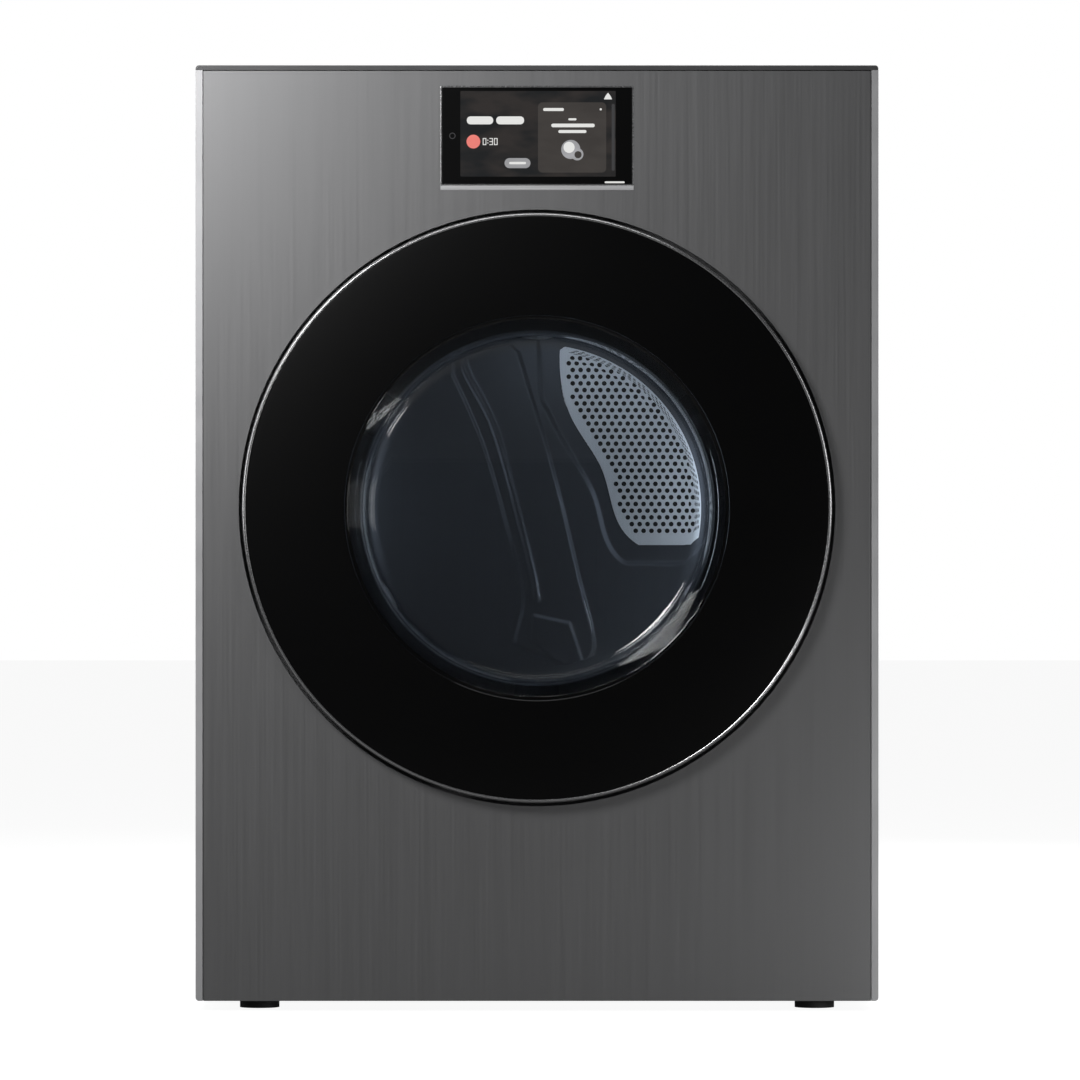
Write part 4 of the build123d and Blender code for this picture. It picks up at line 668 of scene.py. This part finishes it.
def clock_shapes():
    """Outlines of the clock's lit bars and dots."""
    shapes, left = [], CLOCK_LEFT
    for mark in CLOCK:
        if mark == ":":
            shapes += [disc(left + COLON_INSET, CLOCK_MIDDLE + side * COLON_RISE, COLON_DOT)
                       for side in (-1, 1)]
            left += COLON_WIDTH
        else:
            shapes += [rounded_box(*bar, DIGIT_ROUND, 2)
                       for bar in digit_bars(mark, left, CLOCK_MIDDLE)]
            left += DIGIT_WIDTH + DIGIT_GAP
    return shapes


def on_screen(name, shapes, material, layer):
    """Thin plates with these outlines on the display, the layer's number deep in front of its glass."""
    middle = centre("display_glass")
    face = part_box("display_glass")[0].y - (layer - 1) * SCREEN_LAYER
    mesh = bmesh.new()
    for shape in shapes:
        back = [mesh.verts.new((middle.x + x * MM, face, middle.z + z * MM)) for x, z in shape]
        front = [mesh.verts.new((v.co.x, face - 0.9 * SCREEN_LAYER, v.co.z)) for v in back]
        mesh.faces.new(back)
        mesh.faces.new(front)
        for i, here in enumerate(back):
            j = (i + 1) % len(back)
            mesh.faces.new((here, back[j], front[j], front[i]))
    return piece(name, mesh, material)


def screen():
    """Picture behind the glass, drawn with plain bars, one clock and a few generic marks."""
    lines = [rounded_box(*box, (box[3] - box[2]) / 2.2, 4) for box in (*HEADING, *CARD_LINES)]
    on_screen("screen_picture", [rounded_box(*PICTURE, PICTURE_ROUND)], "picture", 1)
    on_screen("screen_card", [rounded_box(*CARD, CARD_ROUND)], "card", 2)
    on_screen("screen_white_marks", [*lines, *clock_shapes(), disc(*CLOSE_DOT), MARKER], "white_mark", 3)
    on_screen("screen_grey_marks", [rounded_box(*PILL, PILL_ROUND)], "grey_mark", 3)
    on_screen("screen_pill_line", [rounded_box(*PILL_LINE, PILL_LINE_ROUND, 4)], "white_mark", 4)
    on_screen("screen_scroll_bar", [rounded_box(*SCROLL, SCROLL_ROUND)], "dim_mark", 2)
    on_screen("screen_coral_mark", [disc(*KNOB)], "coral_mark", 3)
    x, z, radius = TOUCH_KEY
    on_screen("screen_touch_key", [disc(x, z, radius)], "dim_mark", 2)
    on_screen("screen_touch_dot", [disc(x, z, radius - TOUCH_LINE)], "black_glass", 3)
    on_screen("screen_drum_icon", [disc(*ICON_DRUM), disc(*ICON_DOOR)], "grey_mark", 3)
    on_screen("screen_drum_icon_mouth", [disc(*ICON_MOUTH)], "card", 4)
    on_screen("screen_drum_icon_light", [disc(*ICON_LIGHT)], "white_mark", 4)


SILL = 4.4 * MM              # height of the light-toned lip under the display, a painted highlight for the glint on the cut-out's lower edge
SILL_BACK = 0.02 * MM        # the lip's back stands this far off the panel
SILL_EDGE = 0.12 * MM        # and its lower edge this far
SILL_SLOPE = (0.8, 0.1 * MM)        # share of its height where the face turns, and that turn's depth
FRAME_CHAMFER = 0.2 * MM
FRAME_CREST = 0.3            # share of the frame's width where its face starts to be flat
FRAME_GAP = 0.05 * MM        # between the frame and the display glass


def display_trim():
    """Slim metal frame round the display, in place of the plain one."""
    low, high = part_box("display_bezel")
    wide = abs(low.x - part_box("display_glass")[0].x) - FRAME_GAP
    outer = [(low.x, low.z), (high.x, low.z), (high.x, high.z), (low.x, high.z)]
    inner = [(low.x + wide, low.z + wide), (high.x - wide, low.z + wide), (high.x - wide, high.z - wide),
             (low.x + wide, high.z - wide)]
    crest = [(x + (ix - x) * FRAME_CREST, z + (iz - z) * FRAME_CREST)
             for (x, z), (ix, iz) in zip(outer, inner)]
    rings = [outer, outer, crest, inner, inner]
    depths = (high.y, low.y + FRAME_CHAMFER, low.y, low.y, high.y)
    mesh = bmesh.new()
    made = [[mesh.verts.new((x, y, z)) for x, z in ring] for ring, y in zip(rings, depths)]
    for first, second in zip(made, made[1:] + made[:1]):
        for i in range(4):
            j = (i + 1) % 4
            mesh.faces.new((first[i], first[j], second[j], second[i]))
    piece("display_trim_frame", mesh, "trim_metal", "root", ["display_bezel"])


def display_highlight_sill():
    """Wider lip under the display's frame, toned light: a painted highlight standing for the glint on the
    cut-out's lower edge.
    """
    low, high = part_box("display_bezel")
    turn, depth = SILL_SLOPE
    section = [(0.0, low.y), (0.0, FRONT_Y - SILL_BACK), (-SILL, FRONT_Y - SILL_BACK),
               (-SILL, FRONT_Y - SILL_EDGE), (-turn * SILL, low.y + depth)]
    mesh = bmesh.new()
    ends = [[mesh.verts.new((x, y, low.z + z)) for z, y in section] for x in (low.x, high.x)]
    for i in range(len(section)):
        j = (i + 1) % len(section)
        mesh.faces.new((ends[0][i], ends[0][j], ends[1][j], ends[1][i]))
    for end in ends:
        mesh.faces.new(end)
    piece("display_highlight_sill", mesh, "highlight_lip")


# ---------------------------------------------------------------- camera, light and floor
VIEW_DISTANCE = 7.0          # camera to the front panel
VIEW_FIELD = 1.0848          # width seen at the front panel
VIEW_X, VIEW_Z = 0.003, 0.473
SENSOR = 36.0
DRUM_LIGHT = (0.78, 0.87, 1.0)
BACK_Y = 0.27                # where the drum's back wall is, for aiming
# Name, place, target, size, watts and colour of each lamp.
LAMPS = (
    ("Key", (-0.76, FRONT_Y - 1.0, 1.25), (-0.26, FRONT_Y, 0.80), (0.5, 0.5), 16, (1, 1, 1)),
    ("Fill", (2.9, FRONT_Y - 2.4, 0.45), (0.3, FRONT_Y, 0.0), (2.6, 0.8), 8, (1, 1, 1)),
    ("Low right", (0.75, FRONT_Y - 0.7, 0.06), (0.31, FRONT_Y, 0.1), (0.3, 0.1), 1.4, (1, 1, 1)),
    ("Top", (0, 0.2, 3.0), (0, 0, 0.9), (2.4, 2.4), 74, (1, 1, 1)),
    ("Left side", (-2.6, 0.2, 1.2), (-0.3, 0, 0.5), (1.2, 1.8), 30, (1, 1, 1)),
    ("Right side", (2.6, 0.2, 1.2), (0.3, 0, 0.5), (1.2, 1.8), 30, (1, 1, 1)),
    ("Back", (0.8, 3.0, 1.6), (0, 0.35, 0.5), (1.6, 1.6), 40, (1, 1, 1)),
    ("Drum glow above", (0.06, -0.20, AXIS_Z + 0.205), (0.03, BACK_Y, AXIS_Z), (0.16, 0.03), 0.11,
     DRUM_LIGHT),
    ("Drum glow left", (-0.25, 0.05, AXIS_Z + 0.02), (0.05, BACK_Y, AXIS_Z), (0.05, 0.2), 0.085,
     DRUM_LIGHT),
    ("Drum glow right", (0.26, 0.05, AXIS_Z + 0.03), (0.04, BACK_Y, AXIS_Z + 0.03), (0.05, 0.2), 0.16,
     DRUM_LIGHT),
)
STUDIO = 0.063               # strength of the background, as the gloss sees it
PALE = 1.0                   # and as the camera sees it
GROUND_STUDIO, GROUND_PALE = 0.060, 0.93    # the same two for the ground
GROUND_HALF, GROUND_CELLS = 20.0, 48


def camera():
    data = bpy.data.cameras.new("Camera")
    data.sensor_width = SENSOR
    data.lens = SENSOR * VIEW_DISTANCE / VIEW_FIELD
    data.clip_end = 100
    obj = bpy.data.objects.new("Camera", data)
    obj.location = (VIEW_X, FRONT_Y - VIEW_DISTANCE, VIEW_Z)
    obj.rotation_euler = (math.radians(90), 0, 0)
    bpy.context.scene.collection.objects.link(obj)
    bpy.context.scene.camera = obj


def lamp(name, place, target, size, power, colour):
    data = bpy.data.lights.new(name, "AREA")
    data.shape = "RECTANGLE"
    data.size, data.size_y = size
    data.energy = power
    data.color = colour
    obj = bpy.data.objects.new(name, data)
    obj.location = place
    aim = Vector(target) - Vector(place)
    obj.rotation_euler = aim.to_track_quat("-Z", "Y").to_euler()
    bpy.context.scene.collection.objects.link(obj)


def surroundings():
    """Even pale background for the camera, and a dim studio for what the gloss reflects."""
    world = bpy.data.worlds.new("Studio")
    bpy.context.scene.world = world
    world.use_nodes = True
    tree = world.node_tree
    dim = tree.nodes["Background"]
    dim.inputs["Color"].default_value = (0.95, 0.97, 1.0, 1)
    dim.inputs["Strength"].default_value = STUDIO
    pale = tree.nodes.new("ShaderNodeBackground")
    pale.inputs["Color"].default_value = (PALE, PALE, PALE, 1)
    path = tree.nodes.new("ShaderNodeLightPath")
    mix = tree.nodes.new("ShaderNodeMixShader")
    tree.links.new(path.outputs["Is Camera Ray"], mix.inputs[0])
    tree.links.new(dim.outputs[0], mix.inputs[1])
    tree.links.new(pale.outputs[0], mix.inputs[2])
    tree.links.new(mix.outputs[0], tree.nodes["World Output"].inputs["Surface"])


def floor():
    """Pale ground that fades into the background."""
    s = Shader("Pale floor")
    grain = s.noise(60.0, detail=6.0)
    s.set(Base_Color=s.blend(s.span(grain, 0, 1), (0.11, 0.11, 0.11), (0.12, 0.12, 0.12)))
    s.set(Roughness=s.span(grain, 0.7, 0.85))
    s.bump(grain, 0.0002, 0.3)
    seen = s.node("LightPath").outputs["Is Camera Ray"]
    glow = s.node("Emission", Color=(1, 1, 1), Strength=s.span(seen, GROUND_STUDIO, GROUND_PALE, 0, 1))
    added = s.tree.nodes.new("ShaderNodeAddShader")
    s.tree.links.new(s.main.outputs[0], added.inputs[0])
    s.tree.links.new(glow.outputs[0], added.inputs[1])
    s.tree.links.new(added.outputs[0], s.out.inputs["Surface"])
    mesh = bmesh.new()
    bmesh.ops.create_grid(mesh, x_segments=GROUND_CELLS, y_segments=GROUND_CELLS, size=GROUND_HALF)
    data = bpy.data.meshes.new("floor")
    mesh.to_mesh(data)
    mesh.free()
    ground = bpy.data.objects.new("floor", data)
    ground.data.materials.append(s.material)
    bpy.context.scene.collection.objects.link(ground)


# ---------------------------------------------------------------- assembly
dress_frame()
ring_glass()
trim_ring()
window_bowl()
back_skin()
display_trim()
display_highlight_sill()
screen()
camera()
for settings in LAMPS:
    lamp(*settings)
surroundings()
floor()
bpy.context.scene.view_settings.view_transform = "Standard"
